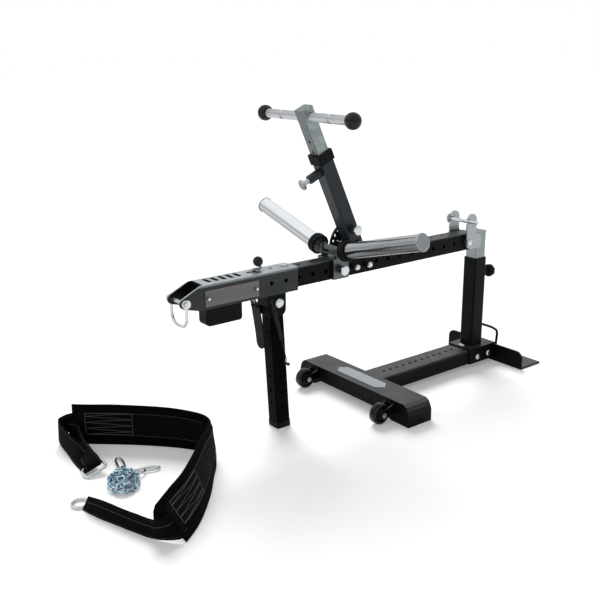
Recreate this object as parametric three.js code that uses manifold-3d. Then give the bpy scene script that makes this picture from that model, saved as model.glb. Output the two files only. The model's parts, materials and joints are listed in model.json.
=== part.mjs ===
// Belt squat machine. Millimetres, Z up, X across the machine, the nose of the lever arm towards -Y.
import * as THREE from 'three';
import { mergeVertices } from 'three/addons/utils/BufferGeometryUtils.js';
import Module from 'manifold-3d';

const wasm = await Module();
wasm.setup();

// Clearances
const fit = 0.3; // between pieces that touch
const slideFit = 0.5; // around pieces that slide or turn
const over = 5; // how far a cutter passes a face
const bite = 1; // how far a welded piece sinks into its neighbour
const weldReach = 0.001; // corners closer than this are one

// Round detail
const holeSides = 8;
const roundSides = 12;
const cornerSteps = 2;
const bendSides = 6;
const archSteps = 8;
const eyeSteps = 12;

// Profiles of turned heads, as shares of their radius and height
const domeShares = [[1, 0], [1, 0.4], [0.65, 0.9], [0, 1]];
const neckShare = 0.55;
const capShare = 0.7;

// Lengths below are measured from the first side hole of the arm; the part's own origin is the
// middle of the rear floor plate, on the floor.
const originY = 268;

// Base
const beam = { width: 91.2, bottom: 13.9, top: 66.2, wall: 4, radius: 6, front: -327.7, rear: 214.7 };
const beamHole = { first: -280, pitch: 29.3, radius: 6 };
const beamHoles = 12;
const foot = {
  front: -424, rear: -328, height: 68, wall: 4, archRise: 19, archHalf: 150, archEnd: 187,
  end: [[261.6, 0], [261.6, 35], [257, 49], [250, 61], [239, 68]],
};
const caster = {
  x: 181, axleY: -467, axleZ: 32.8, radius: 32.5, width: 26, chamfer: 4, hub: 3, hubRadius: 14,
  forkGap: 1.5, forkPlate: 4, plateTop: 58, plateBottom: 26, noseRadius: 12, axleRadius: 4,
  headRadius: 8, headHeight: 5,
};
const rearPlate = { halfWidth: 169, front: 215, thickness: 6, height: 62, corner: 24, rear: 320 };
const rearPlateSteps = 5;
const saddle = { front: 83, rear: 214.6, bottom: 15, side: 4, top: 4.3 };
const sideBolts = [[122, 36], [178, 38]];
const sideBolt = { radius: 5, headRadius: 10, headHeight: 6 };
const topBolt = { y: 97, radius: 10, height: 7 };
const handle = {
  radius: 4.5,
  path: [
    [175, 137], [205, 126], [245, 109], [266, 98], [281, 87], [286, 74], [284, 50], [282, 26], [281, 6.3],
  ],
};
const handleSteps = 14;

// Height post
const post = { centreY: 142, width: 55, wall: 3.5, radius: 5, top: 387 };
const inner = { width: 47, wall: 3, radius: 4, bottom: 150, top: 476, capHeight: 4, capWidth: 51 };
const knob = {
  z: 325, bossRadius: 13, bossLength: 14, screwRadius: 5, neckRadius: 9, headStart: 205, headEnd: 232,
  headRadius: 22, gripRadius: 5, gripDepth: 2,
};
const knobGrips = 7;
const knobShares = [[0, 0], [0.7, 0], [1, 0.25], [1, 0.75], [0.8, 1], [0, 1]];
const bracket = {
  backThickness: 6, halfWidth: 41.5, ear: 6, bottom: 432, shoulderRise: 50, front: 46.5, stripRear: 92.7,
  domeTop: 552, notchZ: 527, notchHalf: 7, notchDepth: 15, cornerRadius: 24, webRise: 44,
};
const bracketSteps = 5;
const pivot = {
  y: 60, z: 455.4, boltRadius: 7, bushRadius: 11, collarRadius: 15, headRadius: 11, headHeight: 6,
};
const stopPin = { y: 54, z: 527, radius: 6, discRadius: 16.5, discThickness: 6, tip: 79 };

// Lever arm
const arm = { width: 58, wall: 4, radius: 5, z: 455.4, front: -970, rear: 96, cap: 4 };
const armHole = { first: 0, pitch: 50, radius: 7, topFirst: -30, topRadius: 6 };
const armHoles = 16;
const topHoles = 15;
const head = {
  side: 5, roof: 5, rear: -658, bottom: 420, bendY: -977, roofEnd: -1030, slopeDrop: 24.7, edge: 7,
  tipRadius: 15, lowerBendY: -981, lip: 6,
};
const headTipSteps = 6;
const headBoreY = [-700, -750];
const slots = { first: -940, pitch: 24, halfLength: 19, halfWidth: 6 };
const slotEndShare = 0.9;
const slotCount = 7;
const noseBolt = { y: -1029, z: 449, radius: 5, headRadius: 9, headHeight: 6 };
const shackle = {
  radius: 4.5, x: 39.6, eyeRadius: 12,
  path: [[39.6, 441], [39.6, 425], [39.2, 411], [36.5, 399], [30, 389.5], [18, 383], [0, 381]],
};
const shackleSteps = 16;
const plateTag = {
  front: -968, rear: -795, bottom: 428, top: 473, thickness: 1.6, rivet: 4, rivetHeight: 3.6, inset: 9,
};
const headBolt = {
  y: -680, radius: 6, headRadius: 11, headHeight: 7, nutRadius: 11, nutHeight: 8, shankEnd: 409,
};
const bumper = { front: -958, rear: -841, bottom: 366, halfWidth: 18, radius: 14, rearRadius: 9 };
const bumperSteps = 4;

// Prop leg, in its own frame: u towards the rear, v up, from the hinge
const leg = {
  y: -720.4, z: 390.9, lean: 3.13, centre: -7, width: 46, wall: 3, radius: 4, top: 13, bottom: -372,
  hole: 6, pivotRadius: 7, slotHalf: 5, slotRadius: 3,
};
const legCrossHeights = [-230, -278, -324];
const legFrontHeights = [-225, -272, -312];
const legSlotHeights = [-45, -87];
const legFoot = { plug: 20, rim: 2 };
const legBracket = {
  front: -793, rear: -660, bottom: 418, halfWidth: 28.5, cheek: 4, cheekInner: 23.5, cheekFront: -757.5,
  cheekRear: -697, cheekBottom: 352, webFront: -757.5, webRear: -754, webBottom: 384, radius: 20,
};
const legBracketSteps = 4;
const legBolt = { radius: 6.5, headRadius: 14.5, headHeight: 6, nutRadius: 12, nutHeight: 8 };
const crossBolt = { v: -181, u: -5, radius: 4, headRadius: 7, headHeight: 4 };

// Spring between the bracket and the eye bolt
const spring = {
  x: 41, topY: -754.9, topZ: 405.6, eyeY: -703.7, eyeZ: 206.7, coilRadius: 5.2, wire: 1.15, pitch: 4.9,
  start: 13, eyeRadius: 3.7, lead: 5, lugRadius: 2, lugReach: 3,
};
const springCurls = 22;
const curlSteps = 8;
const springSides = 5;
const hook = { overlap: 26, eyeRadius: 4.1, lead: 4 };
const coilEyeTurn = [-60, 240];
const hookEyeTurn = [-75, 225];
const eyeBolt = { radius: 2.6, headRadius: 5, headHeight: 3, clear: 2 };

// Release lever
const release = {
  y: -797, z: 450, pinRadius: 3, bossRadius: 7, bossHalf: 9, radius: 4,
  upper: [
    [-797, 455], [-796, 475], [-795, 489], [-791, 494.5], [-780, 495], [-768, 495], [-764, 499], [-769, 507],
  ],
  lower: [[-797, 445], [-793, 428], [-786.5, 408], [-783.5, 396]],
  slotFront: -811, slotRear: -780, slotHalf: 6.5, ball: 14.5, ballY: -772, ballZ: 516,
};
const releaseSteps = [13, 6];
const strip = {
  halfWidth: 19, thickness: 4, drop: 0.5, bolt: 3.5, boltHeight: 3, boltX: 9.5, boltDrop: 12,
  notchEnd: [-783, 394],
  back: [[-784, 402], [-779, 370], [-773.5, 335], [-768.5, 300], [-766, 275], [-765.5, 257]],
};

// Mast, in its own frame: u towards the rear, v up along the mast, from its pivot
const mast = { y: -419, z: 512, lean: 24.6, width: 46, wall: 2.5, radius: 4, top: 300, boltRadius: 5 };
const mastEndSteps = 6;
const mastBolt = { headRadius: 8.5, headHeight: 5, nutHeight: 6 };
const mastBracket = {
  front: -467, rear: -380, side: 5, bottom: 432, plate: 3.5, lug: 6, lugRadius: 19, lugHalf: 24,
  boltY: [-450, -400], boltHead: 8, boltHeight: 7,
};
const sector = {
  radius: 71, pinRadius: 60, hole: 5, slotRadius: 38, slotHalf: 3.4, rearHalf: 22, toeDrop: 2,
};
const sectorAngles = [7.6, 24.6, 41.6, 58.6, 75.6];
const sectorSlotAngles = [20, 46, 72];
const sectorRim = { from: -6, to: 90, step: 8 };
const collar = { bottom: 288, top: 318, width: 54 };
const innerMast = { width: 40, wall: 2.5, radius: 3, bottom: 168, aboveBar: 23, cap: 4, hole: 4.5 };
const innerMastHeights = [200, 232, 264, 296, 328, 360];
const bar = {
  v: 429, radius: 13, bandRadius: 14, bandLength: 9, bandX: 172, end: 178, ballX: 196, ball: 23.5,
};
const mastPin = {
  v: 264, barrelRadius: 13.5, barrelEnd: 66, pinRadius: 4.5, shaftRadius: 7, headStart: 88, headEnd: 97,
  headRadius: 17,
};
const anglePin = {
  v: 60, barrelRadius: 12, barrelEnd: 38, pinRadius: 5, headStart: 44, headEnd: 52, headRadius: 15,
};
const pinHead = { foot: 1, edge: 2 };

// Horn saddle and horns
const hornSaddle = {
  front: -528, rear: -470, side: 4.5, liner: 3.6, bottom: 427, plate: 4,
  rodY: -503.5, rodZ: 514, rodRadius: 9, rodEnd: 51,
  earFront: -516, earRear: -491, barRadius: 3, barZ: 498.5, barY: [-512, -496],
  barrelRadius: 12, barrelEnd: 50, pinY: -500, pinRadius: 5, headStart: 52, headEnd: 60, headRadius: 15,
};
const horn = {
  start: [54, -503.5, 513], tip: [360, -491, 593], radius: 24, rim: 26, rimLength: 5, rimEdge: 1.25,
  collarRadius: 31, collarLength: 26, collarEdge: 2.5, collarTaper: 3.9,
};

// Belt and chain on the floor
const band = { half: 6 };
const bandLine = [
  [[-266, -1241, 0], [-266, -1241, 122]],
  [[-232, -1205, 0], [-232, -1205, 122]],
  [[-190, -1156, 0], [-190, -1156, 123]],
  [[-139, -1100, 0], [-139, -1100, 122]],
  [[-80, -1043, 0], [-80, -1043, 121]],
  [[-30, -1003, 0], [-30, -1003, 118]],
  [[16, -978, 0], [16, -978, 114]],
  [[60, -976, 0], [58.1, -983.7, 112.7]],
  [[106, -1000, 0], [96.2, -1015.3, 114.6]],
  [[150, -1034, 0], [133.7, -1055.3, 116]],
  [[225, -1091, 0], [201.1, -1119.8, 115.1]],
  [[296, -1155, 0], [264.3, -1187.9, 113.1]],
  [[341, -1203, 0], [299.2, -1242.2, 107.7]],
  [[374, -1247, 0], [334, -1300, 98]],
];
const bandSteps = 22;
const padShares = [[0, 0.55], [0.06, 0.75], [0.3, 1], [0.5, 0.72], [0.7, 1], [0.94, 0.75], [1, 0.55]];
const strap = { half: 2 };
const strapEndShare = 0.6;
const strapEdgeShare = 0.1;
const strapRightLine = [
  [[371, -1261, 8], [353, -1284, 50]],
  [[335, -1287, 3], [325, -1299, 48]],
  [[299, -1308, 0], [298, -1299, 45]],
  [[262, -1322, 0], [264, -1310, 44]],
  [[219, -1338, 0], [224, -1324, 43]],
  [[157, -1360, 0], [158, -1343, 42]],
  [[92, -1377, 0], [103, -1363, 39]],
];
const strapLeftLine = [
  [[-251, -1208, 25], [-251, -1208, 70]],
  [[-284, -1238, 24], [-284, -1238, 69]],
  [[-302, -1262, 14], [-302, -1262, 61]],
  [[-286, -1279, 5], [-286, -1277, 52]],
  [[-210, -1286, 0], [-212, -1278, 46]],
  [[-150, -1294, 0], [-150, -1268, 40]],
  [[-104, -1297, 0], [-104, -1253, 18]],
  [[-80, -1297, 0.5], [-80, -1251, 15]],
  [[-63, -1297.5, 12], [-63, -1251.5, 26]],
  [[-79, -1298, 24], [-79, -1252, 38.5]],
  [[-110, -1290, 19], [-110, -1252, 40]],
  [[-170, -1262, 10], [-170, -1250, 48]],
  [[-226, -1238, 6], [-226, -1240, 50]],
  [[-240, -1235, 6], [-240, -1237, 50]],
];
const strapRightSteps = 10;
const strapLeftSteps = 39;
const ring = { wire: 4, radius: 21 };
const ringLeft = { centre: [-55, -1274, 13.5], across: 34, deep: 19, bend: 11, rise: 21, dip: -9 };
const ringRight = [66, -1370, 4.3];
const ringSteps = [12, 14];
const chain = {
  tidy: 0.08, wire: 3.2, linkRadius: 8.5, halfLong: 8, x: 27, y: -1231, heap: 42, height: 40, lift: 6.6,
};
const linkTilt = 30;
const chainWinds = 2.1;
const chainSpreadShares = [0.78, 0.3];
const hooks = [
  { from: [0, -1216, 12], to: [-96, -1190, 6], halfWide: 11 },
  { from: [34, -1196, 10], to: [-6, -1168, 6], halfWide: 17 },
  { from: [4, -1176, 9], to: [24, -1124, 6], halfWide: 10 },
];
const chainLinks = 14;
const linkSteps = 6;
const linkSides = 4;

// Finishes
const finishes = {
  black: { color: 0x23262a, roughness: 0.45, metalness: 0.3 },
  rawSteel: { color: 0x8f9292, roughness: 0.4, metalness: 0.9 },
  zinc: { color: 0x7d8584, roughness: 0.45, metalness: 0.85 },
  chrome: { color: 0xd4d8da, roughness: 0.18, metalness: 1 },
  bolt: { color: 0xb9bdc0, roughness: 0.3, metalness: 1 },
  gloss: { color: 0x0d0e10, roughness: 0.15, metalness: 0 },
  rubber: { color: 0x17181a, roughness: 0.7, metalness: 0 },
  fabric: { color: 0x121316, roughness: 0.9, metalness: 0 },
};

// Solids from three.js shapes

function solid(geometry) {
  const bare = geometry.clone();
  bare.deleteAttribute('normal');
  bare.deleteAttribute('uv');
  const merged = mergeVertices(bare, weldReach);
  const triVerts = new Uint32Array(merged.index.array);
  const vertProperties = merged.attributes.position.array;
  const made = new wasm.Manifold(new wasm.Mesh({ numProp: 3, vertProperties, triVerts }));
  if (made.volume() > 0) return made;
  return new wasm.Manifold(new wasm.Mesh({ numProp: 3, vertProperties, triVerts: triVerts.reverse() }));
}

const join = (first, ...rest) => rest.reduce((whole, next) => whole.add(next), first);
const cut = (first, ...rest) => rest.reduce((whole, next) => whole.subtract(next), first);
const radians = (degrees) => THREE.MathUtils.degToRad(degrees);

function block([x0, x1], [y0, y1], [z0, z1]) {
  const box = new THREE.BoxGeometry(x1 - x0, y1 - y0, z1 - z0);
  return solid(box.translate((x0 + x1) / 2, (y0 + y1) / 2, (z0 + z1) / 2));
}

// Turns a shape that lies along Y onto an axis; at holds the two other coordinates in order.
function along(geometry, axis, w, [u, v]) {
  if (axis === 'x') return geometry.rotateZ(-Math.PI / 2).translate(w, u, v);
  if (axis === 'y') return geometry.translate(u, w, v);
  return geometry.rotateX(Math.PI / 2).translate(u, v, w);
}

function rod(axis, [from, to], at, radius, sides = roundSides) {
  const cylinder = new THREE.CylinderGeometry(radius, radius, to - from, sides);
  return solid(along(cylinder, axis, (from + to) / 2, at));
}

// A turned shape; the profile lists radius and distance along the axis.
function turned(axis, at, profile, sides = roundSides) {
  const points = profile.map(([radius, distance]) => new THREE.Vector2(radius, distance));
  return solid(along(new THREE.LatheGeometry(points, sides), axis, 0, at));
}

function ball(centre, radius, sides = roundSides) {
  return solid(new THREE.SphereGeometry(radius, sides, sides / 2).translate(...centre));
}

// An outline drawn square to an axis and given a length along it.
function plate(axis, [from, to], outline) {
  const shape = new THREE.Shape(outline.map(([u, v]) => new THREE.Vector2(u, v)));
  const made = new THREE.ExtrudeGeometry(shape, { depth: to - from, bevelEnabled: false });
  if (axis === 'z') return solid(made.translate(0, 0, from));
  if (axis === 'y') return solid(made.rotateX(Math.PI / 2).translate(0, to, 0));
  return solid(made.rotateY(Math.PI / 2).rotateX(Math.PI / 2).translate(from, 0, 0));
}

function arc([u, v], radius, fromDegrees, toDegrees, steps) {
  const points = [];
  for (let i = 0; i <= steps; i += 1) {
    const angle = radians(fromDegrees + ((toDegrees - fromDegrees) * i) / steps);
    points.push([u + radius * Math.cos(angle), v + radius * Math.sin(angle)]);
  }
  return points;
}

function roundedRectangle([u, v], width, height, radius) {
  const du = width / 2 - radius;
  const dv = height / 2 - radius;
  return [
    ...arc([u + du, v + dv], radius, 0, 90, cornerSteps),
    ...arc([u - du, v + dv], radius, 90, 180, cornerSteps),
    ...arc([u - du, v - dv], radius, 180, 270, cornerSteps),
    ...arc([u + du, v - dv], radius, 270, 360, cornerSteps),
  ];
}

// The outline of a turned cap on a face, pointing up its axis.
const dome = (face, radius, height) => [
  [0, face], ...domeShares.map(([out, up]) => [radius * out, face + height * up]),
];

function boxTube(axis, [from, to], centre, width, height, wall, radius) {
  const boreRadius = Math.max(radius - wall, wall / 2);
  const bore = roundedRectangle(centre, width - 2 * wall, height - 2 * wall, boreRadius);
  return cut(
    plate(axis, [from, to], roundedRectangle(centre, width, height, radius)),
    plate(axis, [from - over, to + over], bore),
  );
}

// A round bar bent along points.
function bent(points, radius, steps, sides) {
  const curve = new THREE.CatmullRomCurve3(points.map((point) => new THREE.Vector3(...point)));
  return pipe(curve, radius, steps, sides);
}

function pipe(curve, radius, steps, sides) {
  const section = arc([0, 0], radius, 0, 360, sides).slice(0, sides);
  const shape = new THREE.Shape(section.map(([u, v]) => new THREE.Vector2(u, v)));
  return solid(new THREE.ExtrudeGeometry(shape, { steps, extrudePath: curve, bevelEnabled: false }));
}

// A ring of round wire, drawn out to its half width and half length.
function ringOf([halfWide, halfLong], bend, wire, steps, count) {
  const torus = new THREE.TorusGeometry(bend, wire, count, steps).rotateZ(Math.PI / steps);
  const at = torus.attributes.position;
  for (let i = 0; i < at.count; i += 1) {
    const [x, y] = [at.getX(i), at.getY(i)];
    at.setXY(i, x + Math.sign(x) * (halfWide - bend), y + Math.sign(y) * (halfLong - bend));
  }
  return torus;
}

const turnedTo = (geometry, euler, centre) => solid(
  geometry.applyMatrix4(new THREE.Matrix4().makeRotationFromEuler(euler)).translate(...centre),
);

// A closed body through rings of points that all have the same count.
function loft(rings) {
  const count = rings[0].length;
  const positions = rings.flat().flatMap((point) => point.toArray());
  const index = [];
  for (let r = 0; r + 1 < rings.length; r += 1) {
    for (let i = 0; i < count; i += 1) {
      const a = r * count + i;
      const b = r * count + ((i + 1) % count);
      index.push(a, b, b + count, a, b + count, a + count);
    }
  }
  const last = (rings.length - 1) * count;
  for (let i = 1; i + 1 < count; i += 1) index.push(0, i + 1, i, last, last + i, last + i + 1);
  const geometry = new THREE.BufferGeometry();
  geometry.setAttribute('position', new THREE.Float32BufferAttribute(positions, 3));
  geometry.setIndex(index);
  return solid(geometry);
}

// Moves a shape from a frame on a hinge, where x is the same, u is y and v is z, to its place.
const placed = (shape, { y, z, lean }) => shape.rotate([lean, 0, 0]).translate([0, y, z]);

const part = new THREE.Group();

function add(name, shape, finish) {
  const made = shape.getMesh();
  const geometry = new THREE.BufferGeometry();
  geometry.setAttribute('position', new THREE.Float32BufferAttribute(made.vertProperties, 3));
  geometry.setIndex([...made.triVerts]);
  geometry.computeVertexNormals();
  const mesh = new THREE.Mesh(geometry, new THREE.MeshStandardMaterial(finishes[finish]));
  mesh.name = name;
  part.add(mesh);
}

const sides = { left: -1, right: 1 };
// A bore drawn with flats that still clears a shaft turning in it.
const bearing = (radius) => (radius + slideFit) / Math.cos(Math.PI / holeSides);

const ordered = (a, b) => [Math.min(a, b), Math.max(a, b)];

// Base

function makeBeam() {
  const halfWidth = beam.width / 2;
  const centreZ = (beam.top + beam.bottom) / 2;
  const height = beam.top - beam.bottom;
  const run = [beam.front, beam.rear];
  const tube = boxTube('y', run, [0, centreZ], beam.width, height, beam.wall, beam.radius);
  const cutters = [];
  for (let i = 0; i < beamHoles; i += 1) {
    const y = beamHole.first + i * beamHole.pitch;
    const wallRun = [beam.top - beam.wall - over, beam.top + over];
    cutters.push(rod('z', wallRun, [0, y], beamHole.radius, holeSides));
  }
  for (const at of sideBolts) {
    cutters.push(rod('x', [-halfWidth - over, halfWidth + over], at, sideBolt.radius + fit, holeSides));
  }
  add('base_beam', cut(tube, ...cutters), 'black');
}

function makeFoot() {
  const mirrored = foot.end.map(([x, z]) => [-x, z]).reverse();
  const arch = [
    [-foot.archEnd, 0], [-foot.archHalf, foot.archRise], [foot.archHalf, foot.archRise], [foot.archEnd, 0],
  ];
  const shell = plate('y', [foot.front, foot.rear], [...arch, ...foot.end, ...mirrored]);
  const hollowEnd = foot.end.map(([x, z]) => [x - foot.wall, z - foot.wall]);
  hollowEnd[0][1] -= over;
  const hollow = [...hollowEnd, ...hollowEnd.map(([x, z]) => [-x, z]).reverse()];
  const room = plate('y', [foot.front + foot.wall, foot.rear - foot.wall], hollow);
  add('front_foot', cut(shell, room), 'black');
}

function makeCaster(name, side) {
  const c = caster;
  const x = side * c.x;
  const axle = [c.axleY, c.axleZ];
  const half = c.width / 2;
  const inside = half + c.forkGap;
  const outside = inside + c.forkPlate;
  const backY = foot.front - fit;
  const cheekOutline = [
    [backY, c.plateBottom], [backY, c.plateTop], [c.axleY, c.axleZ + c.noseRadius],
    ...arc(axle, c.noseRadius, 100, 260, cornerSteps * 2), [c.axleY, c.axleZ - c.noseRadius],
  ];
  const cheeks = [[inside, outside], [-outside, -inside]].map(
    ([a, b]) => plate('x', [x + a, x + b], cheekOutline),
  );
  const back = block([x - outside, x + outside], [backY - c.forkPlate, backY], [c.plateBottom, c.plateTop]);
  const bore = rod('x', [x - outside - over, x + outside + over], axle, c.axleRadius + fit, holeSides);
  add(`caster_fork_${name}`, cut(join(back, ...cheeks), bore), 'black');
  const hubBore = c.axleRadius + slideFit;
  const hubEnd = half + c.hub / 3;
  const profile = [
    [hubBore, -hubEnd], [c.hubRadius, -hubEnd], [c.hubRadius, c.hub - half],
    [c.radius - 2 * c.chamfer, -half], [c.radius - c.chamfer, -half], [c.radius, c.chamfer - half],
    [c.radius, half - c.chamfer], [c.radius - c.chamfer, half], [c.radius - 2 * c.chamfer, half],
    [c.hubRadius, half - c.hub], [c.hubRadius, hubEnd], [hubBore, hubEnd], [hubBore, -hubEnd],
  ];
  add(`wheel_${name}`, turned('x', axle, profile).translate([x, 0, 0]), 'gloss');
  const end = outside + fit;
  const bolt = join(
    rod('x', [x - end - c.headHeight, x + end + c.headHeight], axle, c.axleRadius, holeSides),
    rod('x', [x + end, x + end + c.headHeight], axle, c.headRadius),
    rod('x', [x - end - c.headHeight, x - end], axle, c.headRadius, 6),
  );
  add(`axle_${name}`, bolt, 'bolt');
}

function makeRearPlate() {
  const p = rearPlate;
  const top = p.height - p.corner;
  const outline = [
    [-p.halfWidth, 0], [p.halfWidth, 0],
    ...arc([p.halfWidth - p.corner, top], p.corner, 0, 90, rearPlateSteps),
    ...arc([p.corner - p.halfWidth, top], p.corner, 90, 180, rearPlateSteps),
  ];
  const upright = plate('y', [p.front, p.front + p.thickness], outline);
  const floorPlate = block([-p.halfWidth, p.halfWidth], [p.front, p.rear], [0, p.thickness]);
  add('rear_plate', join(upright, floorPlate), 'black');
}

function makePostBracket() {
  const inside = beam.width / 2 + fit;
  const outside = inside + saddle.side;
  const under = beam.top + fit;
  const shell = block([-outside, outside], [saddle.front, saddle.rear], [saddle.bottom, under + saddle.top]);
  const room = [saddle.front - over, saddle.rear + over];
  const cutters = [block([-inside, inside], room, [saddle.bottom - over, under])];
  for (const at of sideBolts) {
    cutters.push(rod('x', [-outside - over, outside + over], at, sideBolt.radius + fit, holeSides));
  }
  const cap = turned('z', [0, topBolt.y], dome(under + fit, topBolt.radius, saddle.top + topBolt.height));
  add('post_bracket', join(cut(shell, ...cutters), cap), 'black');
  const reach = outside + fit;
  sideBolts.forEach((at, i) => {
    const bolt = join(
      rod('x', [-reach - sideBolt.headHeight, reach], at, sideBolt.radius, holeSides),
      turned('x', at, dome(reach, sideBolt.headRadius, sideBolt.headHeight)),
      rod('x', [-reach - sideBolt.headHeight, -reach], at, sideBolt.headRadius, 6),
    );
    add(['bracket_bolt_front', 'bracket_bolt_rear'][i], bolt, 'bolt');
  });
}

function makeHandle() {
  const line = handle.path.map(([y, z]) => [0, y, z]);
  add('carry_handle', bent(line, handle.radius, handleSteps, bendSides), 'black');
}

// Height post

function makePost() {
  const bottom = beam.top + 2 * fit + saddle.top;
  const centre = [0, post.centreY];
  const rear = post.centreY + post.width / 2;
  const tube = boxTube('z', [bottom, post.top], centre, post.width, post.width, post.wall, post.radius);
  const boss = rod('y', [rear - post.wall / 2, rear + knob.bossLength], [0, knob.z], knob.bossRadius);
  const span = [rear - post.wall - over, rear + knob.bossLength + over];
  const bore = rod('y', span, [0, knob.z], knob.screwRadius + slideFit, holeSides);
  add('post_tube', cut(join(tube, boss), bore), 'black');
}

function makeInnerPost() {
  const centre = [0, post.centreY];
  const { bottom, top, width, wall, radius } = inner;
  const tube = boxTube('z', [bottom, top], centre, width, width, wall, radius);
  const capOutline = roundedRectangle(centre, inner.capWidth, inner.capWidth, radius);
  const cap = plate('z', [top, top + inner.capHeight], capOutline);
  add('inner_post', join(tube, cap), 'zinc');
}

function makeKnob() {
  const start = post.centreY + inner.width / 2 + fit;
  const stem = rod('y', [start, knob.headStart + bite], [0, knob.z], knob.screwRadius, holeSides);
  const rear = post.centreY + post.width / 2 + knob.bossLength + fit;
  const neck = rod('y', [rear, knob.headStart + bite], [0, knob.z], knob.neckRadius);
  const round = knob.headRadius;
  const depth = knob.headEnd - knob.headStart;
  const profile = knobShares.map(([out, share]) => [round * out, knob.headStart + depth * share]);
  const body = turned('y', [0, knob.z], profile, 2 * knobGrips);
  const grips = [];
  for (let i = 0; i < knobGrips; i += 1) {
    const angle = (2 * Math.PI * i) / knobGrips;
    const reach = round + knob.gripRadius - knob.gripDepth;
    const at = [reach * Math.cos(angle), knob.z + reach * Math.sin(angle)];
    grips.push(rod('y', [knob.headStart - over, knob.headEnd + over], at, knob.gripRadius, holeSides));
  }
  add('height_knob', join(cut(body, ...grips), stem, neck), 'rubber');
}

function makePivotBracket() {
  const b = bracket;
  const rear = post.centreY - inner.width / 2 - fit;
  const webTop = b.bottom + b.webRise;
  const back = block([-b.halfWidth, b.halfWidth], [rear - b.backThickness, rear], [b.bottom, webTop]);
  const domeRadius = (b.stripRear - b.front) / 2;
  const shoulder = b.bottom + b.shoulderRise;
  const outline = [
    ...arc([b.front + b.cornerRadius, b.bottom + b.cornerRadius], b.cornerRadius, 180, 270, bracketSteps),
    [rear, b.bottom], [rear, webTop], [b.stripRear + over, shoulder], [b.stripRear, shoulder + over],
    ...arc([b.front + domeRadius, b.domeTop - domeRadius], domeRadius, 0, 180, archSteps),
  ];
  const pieces = Object.values(sides).map((side) => {
    const span = ordered(side * b.halfWidth, side * (b.halfWidth - b.ear));
    const grown = [span[0] - over, span[1] + over];
    const bore = rod('x', grown, [pivot.y, pivot.z], pivot.boltRadius + fit, holeSides);
    return cut(plate('x', span, outline), plate('x', grown, pinNotch()), bore);
  });
  add('pivot_bracket', join(back, ...pieces), 'zinc');
}

// The mouth in the bracket's front edge that holds the stop pin.
function pinNotch() {
  const { front, notchZ, notchHalf, notchDepth } = bracket;
  const end = front + notchDepth - notchHalf;
  return [
    [front - over, notchZ - notchHalf], [end, notchZ - notchHalf],
    ...arc([end, notchZ], notchHalf, -60, 60, archSteps / 2),
    [end, notchZ + notchHalf], [front - over, notchZ + notchHalf],
  ];
}

function makePivot() {
  const at = [pivot.y, pivot.z];
  const inside = bracket.halfWidth - bracket.ear - fit;
  const armFace = arm.width / 2 + fit;
  const sleeve = join(
    rod('x', [-inside, inside], at, pivot.bushRadius),
    rod('x', [armFace, inside], at, pivot.collarRadius),
    rod('x', [-inside, -armFace], at, pivot.collarRadius),
  );
  const bore = rod('x', [-inside - over, inside + over], at, pivot.boltRadius + fit, holeSides);
  add('pivot_bush', cut(sleeve, bore), 'zinc');
  const reach = bracket.halfWidth + fit;
  const bolt = join(
    rod('x', [-reach - pivot.headHeight, reach + pivot.headHeight / 2], at, pivot.boltRadius, holeSides),
    turned('x', at, dome(reach, pivot.headRadius, pivot.headHeight)),
    rod('x', [-reach - pivot.headHeight, -reach], at, pivot.headRadius, 6),
  );
  add('pivot_bolt', bolt, 'bolt');
}

function makeStopPin() {
  const at = [stopPin.y, stopPin.z];
  const face = -bracket.halfWidth - fit;
  const pin = rod('x', [face - stopPin.discThickness, stopPin.tip], at, stopPin.radius);
  const disc = turned('x', at, [
    [0, face - stopPin.discThickness], [stopPin.discRadius * capShare, face - stopPin.discThickness],
    [stopPin.discRadius, face - stopPin.discThickness / 2], [stopPin.discRadius, face], [0, face],
  ]);
  add('stop_pin', join(pin, disc), 'bolt');
}

// Lever arm and head

function makeArm() {
  const half = arm.width / 2;
  const tube = boxTube('y', [arm.front, arm.rear], [0, arm.z], arm.width, arm.width, arm.wall, arm.radius);
  const span = [-half - over, half + over];
  const cutters = [rod('x', span, [pivot.y, pivot.z], pivot.bushRadius + slideFit)];
  for (let i = 0; i < armHoles; i += 1) {
    const y = armHole.first - i * armHole.pitch;
    if (Math.abs(y - release.y) < release.bossRadius + armHole.radius) continue;
    cutters.push(rod('x', span, [y, arm.z], armHole.radius, holeSides));
  }
  for (let i = 0; i < topHoles; i += 1) {
    const y = armHole.topFirst - i * armHole.pitch;
    const wallRun = [arm.z + half - arm.wall - over, arm.z + half + over];
    cutters.push(rod('z', wallRun, [0, y], armHole.topRadius, holeSides));
  }
  for (const run of [[arm.z - half - over, arm.z], [arm.z, arm.z + half + over]]) {
    cutters.push(rod('z', run, [0, headBolt.y], headBolt.radius + fit, holeSides), releaseSlot(run));
  }
  const pinEnd = half - arm.wall / 2;
  const pin = rod('x', [-pinEnd, pinEnd], [release.y, release.z], release.pinRadius, holeSides);
  const capWidth = arm.width - arm.wall;
  const capOutline = roundedRectangle([0, arm.z], capWidth, capWidth, arm.radius);
  const cap = plate('y', [arm.front, arm.front + arm.cap], capOutline);
  add('lever_arm', join(cut(tube, ...cutters), pin, cap), 'black');
}

// The slot that the release lever passes through.
function releaseSlot(run) {
  return block([-release.slotHalf, release.slotHalf], [release.slotFront, release.slotRear], run);
}

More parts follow.
